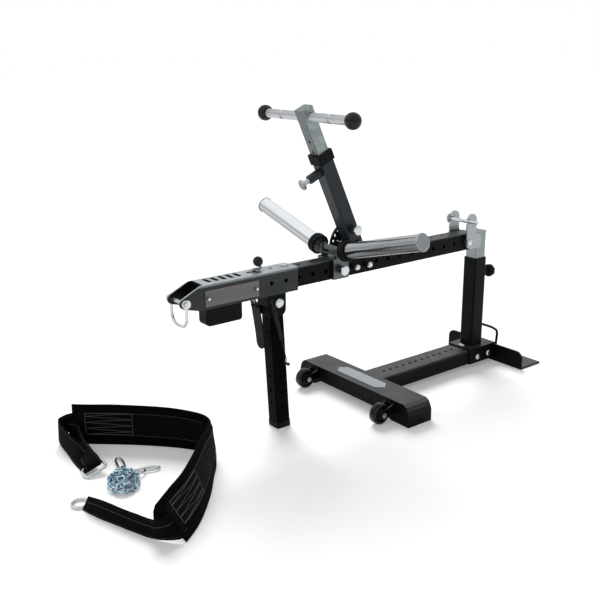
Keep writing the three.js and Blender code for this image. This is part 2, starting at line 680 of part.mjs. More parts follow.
function makeHead() {
  const inside = arm.width / 2 + fit;
  const outside = inside + head.side;
  const under = arm.z + arm.width / 2 + fit;
  const top = under + head.roof;
  const shell = plate('x', [-outside, outside], [
    [head.rear, head.bottom], [head.rear, top], [head.bendY, top], [head.roofEnd, top - head.slopeDrop],
    ...arc([noseBolt.y, noseBolt.z], head.tipRadius, 130, 250, headTipSteps), [head.lowerBendY, head.bottom],
  ]);
  const rounded = [
    [-outside, head.bottom - over], [outside, head.bottom - over],
    ...arc([outside - head.edge, top - head.edge], head.edge, 0, 90, cornerSteps),
    ...arc([head.edge - outside, top - head.edge], head.edge, 90, 180, cornerSteps),
  ];
  const ahead = head.roofEnd - 2 * head.tipRadius;
  const trimmed = shell.intersect(plate('y', [ahead, head.rear + over], rounded));
  const room = [
    [head.rear + over, head.bottom - over], [head.rear + over, under], [head.bendY + head.lip, under],
    [head.bendY + head.lip, top + over], [ahead, top + over], [ahead, head.bottom - over],
  ];
  const roofCut = [under - over, top + over];
  const hollow = plate('x', [-inside, inside], room);
  const openings = [...headBores(outside, roofCut), ...headSlots(roofCut)];
  add('head_sleeve', cut(trimmed, hollow, ...openings), 'rawSteel');
}

function headBores(outside, roofCut) {
  const span = [-outside - over, outside + over];
  const lastTopHole = armHole.topFirst - (topHoles - 1) * armHole.pitch;
  return [
    ...headBoreY.map((y) => rod('x', span, [y, arm.z], armHole.radius, holeSides)),
    rod('x', span, [noseBolt.y, noseBolt.z], noseBolt.radius + fit, holeSides),
    rod('z', roofCut, [0, headBolt.y], headBolt.radius + fit, holeSides),
    rod('z', roofCut, [0, lastTopHole], armHole.topRadius, holeSides),
  ];
}

function headSlots(roofCut) {
  const made = [releaseSlot(roofCut)];
  for (let i = 0; i < slotCount; i += 1) {
    const y = slots.first + i * slots.pitch;
    if (y + slots.halfWidth > release.slotFront - over) continue;
    const endRadius = slots.halfWidth * slotEndShare;
    const outline = roundedRectangle([0, y], 2 * slots.halfLength, 2 * slots.halfWidth, endRadius);
    made.push(plate('z', roofCut, outline));
  }
  return made;
}

function makeNameplate() {
  const t = plateTag;
  const face = arm.width / 2 + fit + head.side + fit;
  const sheet = block([face, face + t.thickness], [t.front, t.rear], [t.bottom, t.top]);
  const middle = (t.bottom + t.top) / 2;
  const rivets = [t.front + t.inset, t.rear - t.inset].map(
    (y) => turned('x', [y, middle], dome(face, t.rivet, t.rivetHeight), holeSides),
  );
  add('nameplate', join(sheet, ...rivets), 'rawSteel');
}

function makeNose() {
  const at = [noseBolt.y, noseBolt.z];
  const n = noseBolt;
  const s = shackle;
  const face = s.x + s.radius + fit;
  const bolt = join(
    rod('x', [-face - n.headHeight, face + n.headHeight], at, n.radius, holeSides),
    rod('x', [face, face + n.headHeight], at, n.headRadius, bendSides),
    rod('x', [-face - n.headHeight, -face], at, n.headRadius, bendSides),
  );
  add('nose_bolt', bolt, 'bolt');
  const right = s.path.map(([x, z]) => [x, n.y, z]);
  const left = s.path.slice(0, -1).map(([x, z]) => [-x, n.y, z]).reverse();
  const loop = bent([...right, ...left], s.radius, shackleSteps, bendSides);
  const inside = arm.width / 2 + fit + head.side + slideFit;
  const eyes = Object.values(sides).map(
    (side) => rod('x', ordered(side * inside, side * (face - fit)), at, s.eyeRadius),
  );
  const bore = rod('x', [-face - over, face + over], at, bearing(n.radius), holeSides);
  add('nose_shackle', cut(join(loop, ...eyes), bore), 'bolt');
}

function makeHeadBolt() {
  const h = headBolt;
  const top = arm.z + arm.width / 2 + 2 * fit + head.roof;
  const under = legBracket.bottom - fit;
  const at = [0, h.y];
  const bolt = join(
    rod('z', [h.shankEnd, top + h.headHeight / 2], at, h.radius, holeSides),
    turned('z', at, dome(top, h.headRadius, h.headHeight)),
    rod('z', [under - h.nutHeight, under], at, h.nutRadius, 6),
  );
  add('head_bolt', bolt, 'bolt');
}

function makeBumper() {
  const b = bumper;
  const top = arm.z - arm.width / 2 - fit;
  const outline = [
    [b.rear, top], [b.front, top],
    ...arc([b.front + b.radius, b.bottom + b.radius], b.radius, 180, 270, bumperSteps),
    ...arc([b.rear - b.rearRadius, b.bottom + b.rearRadius], b.rearRadius, 270, 360, bumperSteps),
  ];
  add('bumper_block', plate('x', [-b.halfWidth, b.halfWidth], outline), 'rubber');
}

// Prop leg

function makeLegBracket() {
  const b = legBracket;
  const top = arm.z - arm.width / 2 - fit;
  const outer = b.cheekInner + b.cheek;
  const small = b.radius / 2;
  const sheet = block([-b.halfWidth, b.halfWidth], [b.front, b.rear], [b.bottom, top]);
  const room = [-strip.halfWidth / 2, strip.halfWidth / 2];
  const notch = block(room, [b.front - over, release.slotRear], [b.bottom - over, top + over]);
  const outline = [
    [b.cheekRear, top - fit], [b.cheekFront, top - fit],
    ...arc([b.cheekFront + small, b.cheekBottom + small], small, 180, 270, legBracketSteps),
    ...arc([b.cheekRear - b.radius, b.cheekBottom + b.radius], b.radius, 270, 360, legBracketSteps),
  ];
  const cheeks = Object.values(sides).map(
    (side) => plate('x', ordered(side * b.cheekInner, side * outer), outline),
  );
  const web = block([-outer, outer], [b.webFront, b.webRear], [b.webBottom, top - fit]);
  const holes = [
    rod('x', [-outer - over, outer + over], [leg.y, leg.z], legBolt.radius + fit, holeSides),
    rod('z', [b.bottom - over, top + over], [0, headBolt.y], headBolt.radius + fit, holeSides),
  ];
  const lugEnd = spring.x + spring.wire + spring.lugReach;
  const lug = rod('x', [outer - fit, lugEnd], [spring.topY, spring.topZ], spring.lugRadius, holeSides);
  add('leg_bracket', join(cut(join(cut(sheet, notch), ...cheeks, web), ...holes), lug), 'black');
  makeLegBolt(outer + fit);
}

function makeLegBolt(reach) {
  const { radius, headRadius, headHeight, nutRadius, nutHeight } = legBolt;
  const at = [leg.y, leg.z];
  const bolt = join(
    rod('x', [-reach - nutHeight, reach + headHeight / 2], at, radius, holeSides),
    turned('x', at, dome(reach, headRadius, headHeight)),
    rod('x', [-reach - nutHeight, -reach], at, nutRadius, 6),
  );
  add('leg_hinge_bolt', bolt, 'bolt');
}

function makeLeg() {
  const half = leg.width / 2;
  const front = leg.centre - half;
  const centre = [0, leg.centre];
  const tube = boxTube('z', [leg.bottom, leg.top], centre, leg.width, leg.width, leg.wall, leg.radius);
  const through = (at, radius) => rod('x', [-half - over, half + over], at, radius, holeSides);
  const cutters = [
    through([0, 0], bearing(legBolt.radius)),
    through([crossBolt.u, crossBolt.v], crossBolt.radius + fit),
    through(toLeg(spring.eyeY, spring.eyeZ), eyeBolt.radius + fit),
    ...legCrossHeights.map((v) => through([leg.centre, v], leg.hole)),
    ...legFrontHeights.map((v) => rod('y', [front - over, leg.centre], [0, v], leg.hole, holeSides)),
    ...legSlotHeights.map((v) => plate('y', [front - over, leg.centre], legSlot(v))),
  ];
  add('leg_tube', placed(join(cut(tube, ...cutters), makeCrossBolt(half)), leg), 'black');
  makeLegFoot(half);
}

function legSlot(v) {
  return roundedRectangle([0, v], 2 * leg.slotRadius, 2 * leg.slotHalf, leg.slotRadius * slotEndShare);
}

function makeCrossBolt(half) {
  const at = [crossBolt.u, crossBolt.v];
  const end = half + crossBolt.headHeight;
  const heads = Object.values(sides).map(
    (side) => rod('x', ordered(side * (half - bite), side * end), at, crossBolt.headRadius, 6),
  );
  return join(rod('x', [-end, end], at, crossBolt.radius + fit, holeSides), ...heads);
}

function makeLegFoot(half) {
  const room = 2 * (half - leg.wall - fit);
  const rim = leg.width + legFoot.rim;
  const centre = [0, leg.centre];
  const { bottom } = leg;
  const depth = legFoot.plug;
  const plug = join(
    plate('z', [bottom - depth, bottom + depth], roundedRectangle(centre, room, room, leg.wall)),
    plate('z', [bottom - 2 * depth, bottom - fit], roundedRectangle(centre, rim, rim, leg.radius)),
  );
  const reach = 2 * leg.width;
  const above = block([-reach, reach], [leg.y - reach, leg.y + reach], [0, leg.z]);
  add('leg_foot', placed(plug, leg).intersect(above), 'rubber');
}

// The place of a world point in the leg's own frame.
function toLeg(y, z) {
  const angle = radians(leg.lean);
  const dy = y - leg.y;
  const dz = z - leg.z;
  return [dy * Math.cos(angle) + dz * Math.sin(angle), dz * Math.cos(angle) - dy * Math.sin(angle)];
}

function springFrame() {
  const from = new THREE.Vector3(spring.x, spring.topY, spring.topZ);
  const to = new THREE.Vector3(spring.x, spring.eyeY, spring.eyeZ);
  const down = to.clone().sub(from);
  const length = down.length();
  down.normalize();
  const across = new THREE.Vector3(1, 0, 0);
  const forward = new THREE.Vector3().crossVectors(down, across);
  const point = (distance, u, v) => from.clone()
    .addScaledVector(down, distance).addScaledVector(across, u).addScaledVector(forward, v);
  return { point, length };
}

// Half a turn of hook, the lead to the coil and the coil itself, in one line of points.
function springPoints() {
  const { point } = springFrame();
  const eye = spring.eyeRadius;
  const points = eyeAngles(coilEyeTurn)
    .map((angle) => point(-eye * Math.sin(angle), 0, -eye * Math.cos(angle)));
  points.push(point(spring.start - spring.lead, 0, eye / 2));
  for (let i = 0; i <= springCurls * curlSteps; i += 1) {
    const angle = (2 * Math.PI * i) / curlSteps;
    const radius = spring.coilRadius * Math.min(1, (i + 2) / curlSteps);
    const distance = spring.start + (spring.pitch * i) / curlSteps;
    points.push(point(distance, radius * Math.sin(angle), radius * Math.cos(angle)));
  }
  return points;
}

function eyeAngles([from, to]) {
  const angles = [];
  for (let i = 0; i <= eyeSteps; i += 1) angles.push(radians(from + ((to - from) * i) / eyeSteps));
  return angles;
}

function polyTube(points, radius, count) {
  let side = null;
  return loft(points.map((point, i) => {
    const before = points[Math.max(i - 1, 0)];
    const after = points[Math.min(i + 1, points.length - 1)];
    const run = after.clone().sub(before).normalize();
    side = side ?? new THREE.Vector3(1, 0, 0).cross(run).normalize();
    side = side.clone().addScaledVector(run, -side.dot(run)).normalize();
    const up = new THREE.Vector3().crossVectors(run, side);
    return arc([0, 0], radius, 0, 360, count).slice(0, count)
      .map(([a, b]) => point.clone().addScaledVector(side, a).addScaledVector(up, b));
  }));
}

function leastGap(points, radius, reach) {
  let least = Infinity;
  for (let i = 0; i < points.length; i += 1) {
    for (let j = i + reach; j < points.length; j += 1) {
      least = Math.min(least, points[i].distanceTo(points[j]) - 2 * radius);
    }
  }
  return least;
}

function makeSpring() {
  const points = springPoints();
  add('leg_spring', polyTube(points, spring.wire, springSides), 'bolt');
  console.log('spring: least gap to itself', leastGap(points, spring.wire, curlSteps / 2 + 1).toFixed(2));
  const { point, length } = springFrame();
  const coilEnd = spring.start + springCurls * spring.pitch;
  const reach = [coilEnd - hook.overlap, (coilEnd + length) / 2, length - hook.eyeRadius - hook.lead];
  const eye = eyeAngles(hookEyeTurn).slice(1)
    .map((angle) => point(length + hook.eyeRadius * Math.sin(angle), 0, hook.eyeRadius * Math.cos(angle)));
  const line = [...reach.map((distance) => point(distance, 0, 0)), ...eye];
  add('spring_hook', polyTube(line, spring.wire, springSides + 1), 'bolt');
  makeEyeBolt();
}

function makeEyeBolt() {
  const half = leg.width / 2;
  const at = toLeg(spring.eyeY, spring.eyeZ);
  const { radius, headRadius, headHeight, clear } = eyeBolt;
  const outer = spring.x + spring.wire + clear;
  const heads = [-half - fit - headHeight, half + fit, outer].map(
    (start) => rod('x', [start, start + headHeight], at, headRadius, 6),
  );
  const bolt = join(rod('x', [-half - headHeight, outer + headHeight], at, radius, holeSides), ...heads);
  add('spring_eye_bolt', placed(bolt, leg), 'bolt');
}

// Release lever

function makeRelease() {
  const r = release;
  const at = [r.y, r.z];
  const boss = rod('x', [-r.bossHalf, r.bossHalf], at, r.bossRadius);
  const bore = rod('x', [-r.bossHalf - over, r.bossHalf + over], at, bearing(r.pinRadius), holeSides);
  const rods = [r.upper, r.lower].map(
    (line, i) => bent(line.map(([y, z]) => [0, y, z]), r.radius, releaseSteps[i], bendSides),
  );
  add('release_lever', cut(join(boss, ...rods), bore), 'zinc');
  const [endY, endZ] = r.upper[r.upper.length - 1];
  const socket = block(
    [-r.radius - fit, r.radius + fit], [endY - r.ball, endY + r.ball],
    [r.ballZ - 2 * r.ball, endZ + 3 * fit + bite],
  );
  add('lever_ball', cut(ball([0, r.ballY, r.ballZ], r.ball), socket), 'gloss');
}

function makeStrip() {
  const s = strip;
  const [backTop, top] = s.back[0];
  const [backEnd, lowest] = s.back[s.back.length - 1];
  const front = s.back.map(([y, z]) => [y - s.thickness, z - s.drop]).reverse();
  const side = plate('x', [-s.halfWidth, s.halfWidth], [...s.back, ...front]);
  const face = [
    ...arc([0, lowest + s.halfWidth], s.halfWidth, 180, 360, archSteps),
    [s.halfWidth, top + over], [-s.halfWidth, top + over],
  ];
  const rounded = side.intersect(plate('y', [backTop - 4 * over, backEnd + 4 * over], face));
  const line = [...release.lower, s.notchEnd].map(([y, z]) => [0, y, z]);
  const room = bent(line, release.radius + fit, archSteps + 1, bendSides);
  const boltRun = [backTop - s.thickness - s.boltHeight, backTop];
  const bolts = Object.values(sides).map(
    (turn) => rod('y', boltRun, [turn * s.boltX, top - s.boltDrop], s.bolt, holeSides),
  );
  add('lever_strip', join(cut(rounded, room), ...bolts), 'black');
}

// Mast

function makeMastBracket() {
  const b = mastBracket;
  const inside = arm.width / 2 + fit;
  const outside = inside + b.side;
  const under = arm.z + arm.width / 2 + fit;
  const top = under + b.plate;
  const shell = cut(
    block([-outside, outside], [b.front, b.rear], [b.bottom, top]),
    block([-inside, inside], [b.front - over, b.rear + over], [b.bottom - over, under]),
  );
  const lugInner = mast.width / 2 + slideFit;
  const lug = plate('x', [lugInner, lugInner + b.lug], [
    [mast.y - b.lugHalf, top - fit], [mast.y + b.lugHalf, top - fit],
    ...arc([mast.y, mast.z], b.lugRadius, 0, 180, archSteps),
  ]);
  const boreRun = [lugInner - over, lugInner + b.lug + over];
  const bore = rod('x', boreRun, [mast.y, mast.z], mast.boltRadius + fit, holeSides);
  const bolts = b.boltY.flatMap((y) => Object.values(sides).map((side) => {
    const run = ordered(side * (outside - bite), side * (outside + b.boltHeight));
    return rod('x', run, [y, arm.z], b.boltHead, 6);
  }));
  add('mast_bracket', join(cut(join(shell, lug), bore), ...bolts), 'black');
  makeSector(top + fit);
  makeMastBolt();
}

function makeSector(bottom) {
  const s = sector;
  const outer = -mast.width / 2 - slideFit;
  const grown = [outer - mastBracket.lug - over, outer + over];
  const polar = (radius, lean) => [
    mast.y - radius * Math.sin(radians(lean)), mast.z + radius * Math.cos(radians(lean)),
  ];
  const rim = [];
  for (let lean = sectorRim.from; lean <= sectorRim.to; lean += sectorRim.step) {
    rim.push(polar(s.radius, lean));
  }
  const outline = [
    [mast.y + s.rearHalf, bottom], [mast.y + s.rearHalf, mast.z + s.rearHalf / 2], ...rim,
    [mast.y - s.radius, mast.z - s.toeDrop], [mast.y - s.slotRadius, bottom],
  ];
  const slotRadii = [s.slotRadius - 2 * s.slotHalf, s.slotRadius, s.slotRadius + 2 * s.slotHalf];
  const cutters = [
    rod('x', grown, [mast.y, mast.z], mast.boltRadius + fit, holeSides),
    ...sectorAngles.map((lean) => rod('x', grown, polar(s.pinRadius, lean), s.hole, holeSides)),
    ...sectorSlotAngles.flatMap(
      (lean) => slotRadii.map((radius) => rod('x', grown, polar(radius, lean), s.slotHalf, holeSides)),
    ),
  ];
  add('sector_plate', cut(plate('x', [outer - mastBracket.lug, outer], outline), ...cutters), 'black');
}

function makeMastBolt() {
  const reach = mast.width / 2 + slideFit + mastBracket.lug + fit;
  const at = [mast.y, mast.z];
  const { headRadius, headHeight, nutHeight } = mastBolt;
  add('mast_bolt', join(
    rod('x', [-reach - nutHeight, reach + headHeight], at, mast.boltRadius, holeSides),
    rod('x', [reach, reach + headHeight], at, headRadius, 6),
    rod('x', [-reach - nutHeight, -reach], at, headRadius, 6),
  ), 'bolt');
}

function makeMast() {
  const half = mast.width / 2;
  const across = [-half - over, half + over];
  const tube = boxTube('z', [-half, mast.top], [0, 0], mast.width, mast.width, mast.wall, mast.radius);
  const sideView = [
    ...arc([0, 0], half, 180, 360, mastEndSteps), [half, mast.top + over], [-half, mast.top + over],
  ];
  const trimmed = tube.intersect(plate('x', across, sideView));
  const sunk = half - mast.wall / 2;
  const barrel = rod('y', [-mastPin.barrelEnd, -sunk], [0, mastPin.v], mastPin.barrelRadius);
  const sideBarrel = rod('x', [sunk, anglePin.barrelEnd], [0, anglePin.v], anglePin.barrelRadius);
  const pinRun = [-mastPin.barrelEnd - over, -half + mast.wall + over];
  const sideRun = [across[0], anglePin.barrelEnd + over];
  const bores = [
    rod('y', pinRun, [0, mastPin.v], mastPin.pinRadius + slideFit, holeSides),
    rod('x', sideRun, [0, anglePin.v], anglePin.pinRadius + slideFit, holeSides),
    rod('x', across, [0, 0], bearing(mast.boltRadius), holeSides),
  ];
  add('mast_tube', placed(cut(join(trimmed, barrel, sideBarrel), ...bores), mast), 'black');
  makeCollar(half);
}

function makeCollar(half) {
  const { bottom, top, width } = collar;
  const square = (halfWidth, run) => block([-halfWidth, halfWidth], [-halfWidth, halfWidth], run);
  const shape = cut(
    plate('z', [bottom, top], roundedRectangle([0, 0], width, width, mast.radius)),
    square(half + fit, [bottom - over, mast.top + fit]),
    square(innerMast.width / 2 + slideFit, [mast.top, top + over]),
  );
  add('mast_collar', placed(shape, mast), 'rubber');
}

function makeInnerMast() {
  const m = innerMast;
  const half = m.width / 2;
  const top = bar.v + m.aboveBar;
  const tube = boxTube('z', [m.bottom, top], [0, 0], m.width, m.width, m.wall, m.radius);
  const cap = plate('z', [top, top + m.cap], roundedRectangle([0, 0], m.width, m.width, m.radius));
  const holeRun = [-half - over, -half + m.wall + over];
  const cutters = innerMastHeights.map((v) => rod('y', holeRun, [0, v], m.hole, holeSides));
  cutters.push(rod('x', [-half - over, half + over], [0, bar.v], bar.radius + fit));
  add('mast_inner_tube', placed(cut(join(tube, cap), ...cutters), mast), 'zinc');
}

function makeBar() {
  const at = [0, bar.v];
  const bands = Object.values(sides).map((side) => {
    const middle = side * bar.bandX;
    return rod('x', [middle - bar.bandLength / 2, middle + bar.bandLength / 2], at, bar.bandRadius);
  });
  add('handle_bar', placed(join(rod('x', [-bar.end, bar.end], at, bar.radius), ...bands), mast), 'chrome');
  for (const [name, side] of Object.entries(sides)) {
    const run = ordered(side * (bar.ballX - 2 * bar.ball), side * (bar.end + fit));
    const round = cut(ball([side * bar.ballX, 0, bar.v], bar.ball), rod('x', run, at, bar.bandRadius + fit));
    add(`handle_ball_${name}`, placed(round, mast), 'gloss');
  }
}

// The outline of a pull pin's head, from the end of its barrel outwards.
const pullHead = ({ barrelEnd, headStart, headEnd, headRadius }) => [
  [0, barrelEnd + fit], [headRadius * neckShare, barrelEnd + fit], [headRadius * neckShare, headStart],
  [headRadius, headStart + pinHead.foot], [headRadius, headEnd - pinHead.edge],
  [headRadius * capShare, headEnd], [0, headEnd],
];

function makeMastPins() {
  const p = mastPin;
  const tip = innerMast.width / 2 + fit;
  const heightPin = join(
    rod('y', [-p.headStart - bite, -tip], [0, p.v], p.pinRadius, holeSides),
    rod('y', [-p.headStart - bite, -p.barrelEnd - fit], [0, p.v], p.shaftRadius),
    turned('y', [0, p.v], [
      [0, -p.headEnd], [p.headRadius * capShare, -p.headEnd], [p.headRadius, pinHead.edge - p.headEnd],
      [p.headRadius, -p.headStart - pinHead.foot], [p.headRadius * neckShare, -p.headStart],
      [0, -p.headStart],
    ]),
  );
  add('height_pin', placed(heightPin, mast), 'chrome');
  const a = anglePin;
  const inPlate = -mast.width / 2;
  const side = join(
    rod('x', [inPlate, a.headStart + bite], [0, a.v], a.pinRadius, holeSides),
    turned('x', [0, a.v], pullHead(a)),
  );
  add('angle_pin', placed(side, mast), 'bolt');
}

// Horn saddle

function makeHornSaddle() {
  const h = hornSaddle;
  const inside = arm.width / 2 + slideFit;
  const outside = inside + h.liner + h.side;
  const under = arm.z + arm.width / 2 + slideFit;
  const top = under + h.plate;
  const shell = cut(
    block([-outside, outside], [h.front, h.rear], [h.bottom, top]),
    block([-inside, inside], [h.front - over, h.rear + over], [h.bottom - over, under]),
  );
  const earRadius = (h.earRear - h.earFront) / 2;
  const earOutline = [
    [h.earFront, top - h.plate], [h.earRear, top - h.plate],
    ...arc([h.rodY, h.rodZ], earRadius, 0, 180, archSteps),
  ];
  const ears = Object.values(sides).map(
    (side) => plate('x', ordered(side * outside, side * (outside - h.side)), earOutline),
  );
  const cross = rod('x', [-h.rodEnd, h.rodEnd], [h.rodY, h.rodZ], h.rodRadius);
  const bars = h.barY.map((y) => rod('x', [-outside, outside], [y, h.barZ], h.barRadius, holeSides));
  const pinAt = [h.pinY, arm.z];
  const barrel = rod('x', [outside - bite, h.barrelEnd], pinAt, h.barrelRadius);
  const bore = rod('x', [inside - over, h.barrelEnd + over], pinAt, h.pinRadius + slideFit, holeSides);
  add('horn_saddle', cut(join(shell, ...ears, cross, ...bars, barrel), bore), 'zinc');
  const tip = inside - slideFit + fit;
  const pin = rod('x', [tip, h.headStart + bite], pinAt, h.pinRadius, holeSides);
  add('saddle_pin', join(pin, turned('x', pinAt, pullHead(h))), 'bolt');
}

function makeHorns() {
  for (const [name, side] of Object.entries(sides)) makeHorn(name, side);
}

function makeHorn(name, side) {
  const start = new THREE.Vector3(side * horn.start[0], horn.start[1], horn.start[2]);
  const tip = new THREE.Vector3(side * horn.tip[0], horn.tip[1], horn.tip[2]);
  const run = tip.clone().sub(start);
  const length = run.length();
  const turn = new THREE.Quaternion().setFromUnitVectors(new THREE.Vector3(0, 1, 0), run.normalize());
  const matrix = new THREE.Matrix4().compose(start, turn, new THREE.Vector3(1, 1, 1));
  const lay = (profile) => {
    const points = profile.map(([r, w]) => new THREE.Vector2(r, w));
    return solid(new THREE.LatheGeometry(points, roundSides + cornerSteps).applyMatrix4(matrix));
  };
  add(`horn_${name}`, lay([
    [0, 0], [horn.radius, 0], [horn.radius, length - horn.rimLength], [horn.rim, length - horn.rimLength],
    [horn.rim, length - horn.rimEdge], [horn.rim - horn.rimEdge, length], [0, length],
  ]), 'chrome');
  const bore = horn.radius + fit;
  const taper = horn.collarRadius - horn.collarEdge;
  add(`horn_collar_${name}`, lay([
    [bore, 0], [taper, 0], [horn.collarRadius, horn.collarTaper],
    [horn.collarRadius, horn.collarLength - horn.collarTaper], [taper, horn.collarLength],
    [bore, horn.collarLength], [bore, 0],
  ]), 'rubber');
}

// Belt: each station of a line is a point on its lower edge and the one above it on its upper edge.

function ribbon(stations, section) {
  const rings = stations.map(([low, high], i) => {
    const before = stations[Math.max(i - 1, 0)];
    const after = stations[Math.min(i + 1, stations.length - 1)];
    const run = after[0].clone().add(after[1]).sub(before[0]).sub(before[1]).normalize();
    const rise = high.clone().sub(low);
    const out = new THREE.Vector3().crossVectors(rise, run).normalize();
    return section(rise.length()).map(([across, up]) => low.clone()
      .addScaledVector(out, across).addScaledVector(rise.clone().normalize(), up));
  });
  return loft(rings);
}

function smooth(line, steps) {
  const edge = (index) => new THREE.CatmullRomCurve3(line.map((pair) => new THREE.Vector3(...pair[index])));
  const [low, high] = [edge(0), edge(1)];
  const stations = [];
  for (let i = 0; i <= steps; i += 1) stations.push([low.getPoint(i / steps), high.getPoint(i / steps)]);
  return stations;
}

// A padded strip: thin stitched edges, a crown between them and two shallow channels.
function padSection(height) {
  const right = padShares.map(([share, crown]) => [band.half * crown, share * height]);
  return [...right, ...right.map(([across, up]) => [-across, up]).reverse()];
}

function webSection(height) {
  const { half } = strap;
  const end = half * strapEndShare;
  const edge = height * strapEdgeShare;
  const right = [[end, 0], [half, edge], [half, height - edge], [end, height]];
  return [...right, ...right.map(([across, up]) => [-across, up]).reverse()];
}

function onFloor(shape) {
  const lowest = shape.boundingBox().min[2];
  return shape.translate([0, 0, fit - lowest]);
}

function cutFlat(shape, depth) {
  const { min, max } = shape.boundingBox();
  const lowered = shape.translate([0, 0, -min[2] - depth]);
  const spans = [0, 1].map((axis) => [min[axis] - over, max[axis] + over]);
  return lowered.intersect(block(...spans, [0, max[2] + over]));
}

function makeBelt() {
  const sewn = (line, steps, section) => cutFlat(ribbon(smooth(line, steps), section), slideFit);
  add('belt_band', sewn(bandLine, bandSteps, padSection), 'fabric');
  add('belt_strap_right', sewn(strapRightLine, strapRightSteps, webSection), 'fabric');
  add('belt_strap_left', sewn(strapLeftLine, strapLeftSteps, webSection), 'fabric');
  const l = ringLeft;
  const turn = new THREE.Euler(Math.atan2(l.rise, 2 * l.across), Math.atan2(-l.dip, 2 * l.deep), 0);
  const wire = ringOf([l.deep, l.across], l.bend, ring.wire, ringSteps[0], bendSides);
  add('belt_ring_left', onFloor(turnedTo(wire, turn, l.centre)), 'bolt');
  const round = new THREE.TorusGeometry(ring.radius, ring.wire, bendSides, ringSteps[1]);
  add('belt_ring_right', solid(round.translate(...ringRight)), 'bolt');
}

// Chain: oval links laid along a coiled heap, each one turned a quarter from the one before, and
// the two snap hooks and their ring, drawn as larger ovals.
function makeChain() {
  const links = [];
  for (let i = 0; i < chainLinks; i += 1) links.push(makeLink(i));
  links.push(...hooks.map(makeHook));
  const shells = join(...links).decompose().sort((a, b) => b.volume() - a.volume());
  add('chain', onFloor(shells[0].simplify(chain.tidy)), 'bolt');
}

function makeLink(i) {
  const c = chain;
  const share = i / (chainLinks - 1);
  const angle = share * chainWinds * 2 * Math.PI;
  const radius = c.heap * THREE.MathUtils.lerp(...chainSpreadShares, share);
  const height = c.lift + (c.height - 2 * c.linkRadius) * share;
  const centre = new THREE.Vector3(c.x + radius * Math.cos(angle), c.y + radius * Math.sin(angle), height);
  const turn = new THREE.Euler(0, (i % 2 ? 1 : -1) * radians(linkTilt), angle, 'ZYX');
  const size = [c.linkRadius, c.linkRadius + c.halfLong];
  return turnedTo(ringOf(size, c.linkRadius, c.wire, linkSteps, linkSides), turn, centre);
}

function makeHook({ from, to, halfWide }) {
  const start = new THREE.Vector3(...from);
  const run = new THREE.Vector3(...to).sub(start);
  const centre = start.addScaledVector(run, 1 / 2);
  const heading = Math.atan2(run.y, run.x) - Math.PI / 2;
  const turn = new THREE.Euler(Math.asin(run.z / run.length()), 0, heading, 'ZYX');
  const size = [halfWide, run.length() / 2];
  return turnedTo(ringOf(size, halfWide, chain.wire, linkSteps + 2, linkSides), turn, centre);
}

makeBeam();
makeFoot();
for (const [name, side] of Object.entries(sides)) makeCaster(name, side);
makeRearPlate();
makePostBracket();
makeHandle();
makePost();
makeInnerPost();
makeKnob();
makePivotBracket();
makePivot();
makeStopPin();
makeArm();
makeHead();
makeNameplate();
makeNose();
makeHeadBolt();
makeBumper();
makeLegBracket();
makeLeg();
makeSpring();
makeRelease();
makeStrip();
makeMastBracket();
makeMast();
makeInnerMast();
makeBar();
makeMastPins();
makeHornSaddle();
makeHorns();
makeBelt();
makeChain();
part.position.y = -originY;

export default part;
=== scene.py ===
"""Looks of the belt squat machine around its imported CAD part."""

import json
import math

import bpy
import numpy as np
from mathutils import Matrix, Vector


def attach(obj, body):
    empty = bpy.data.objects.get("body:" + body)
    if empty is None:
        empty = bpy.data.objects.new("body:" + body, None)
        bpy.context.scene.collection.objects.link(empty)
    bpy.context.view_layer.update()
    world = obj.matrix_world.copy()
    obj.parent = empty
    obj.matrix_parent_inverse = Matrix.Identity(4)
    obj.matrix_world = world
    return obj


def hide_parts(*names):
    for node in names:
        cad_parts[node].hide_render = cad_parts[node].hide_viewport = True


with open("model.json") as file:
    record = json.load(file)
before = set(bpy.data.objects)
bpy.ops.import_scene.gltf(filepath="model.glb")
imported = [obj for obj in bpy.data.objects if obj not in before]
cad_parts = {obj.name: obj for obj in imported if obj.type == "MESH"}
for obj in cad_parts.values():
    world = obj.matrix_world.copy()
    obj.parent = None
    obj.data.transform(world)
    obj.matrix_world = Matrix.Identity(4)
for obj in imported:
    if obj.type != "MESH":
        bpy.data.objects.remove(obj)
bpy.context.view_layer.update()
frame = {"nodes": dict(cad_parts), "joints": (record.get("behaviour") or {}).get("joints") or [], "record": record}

JOINTS = {joint["name"]: joint for joint in frame["joints"]}
ORIGIN_Y = 268.0  # millimetres from the arm's first side hole to the part's origin


def hinge_line(joint):
    """The y and z of a hinge's line, in millimetres from the arm's first side hole and the floor."""
    x, y, z = JOINTS[joint]["pos_m"]
    return round(1000 * y + ORIGIN_Y, 2), round(1000 * z, 2)


def forward_lean(joint):
    """How far a slide leans from upright towards the nose, in degrees."""
    x, y, z = JOINTS[joint]["axis"]
    return round(math.degrees(math.atan2(-y, z)), 2)


# Places on the machine in millimetres, measured from the arm's first side hole and the floor.
# A pair is the y and z of a line that runs across the machine, unless the name says otherwise.
PIVOT = hinge_line("arm_hinge")
ARM_Z = PIVOT[1]
STOP_PIN = (54, 527)
SADDLE_PIN = (-500, ARM_Z)
LEG_HINGE = hinge_line("leg_fold")
NOSE_BOLT = hinge_line("shackle_swing")
RELEASE_PIVOT = hinge_line("release_swing")
WHEEL_AXLE = hinge_line("wheel_right_spin")
WHEEL_X = 1000 * JOINTS["wheel_right_spin"]["pos_m"][0]
BRACKET_BOLTS = {"bracket_bolt_front": (122, 36), "bracket_bolt_rear": (178, 38)}
BRACKET_HEADS_Y = (-446, -396)
PLATE_RIVETS_Y, PLATE_Z = (-959, -804), 450.5
HEAD_BOLT_XY, TOP_BOLT_XY = (0, -680), (0, 97)
LEVER_BALL_XY, LEVER_BALL_Z = (0, -772), 516
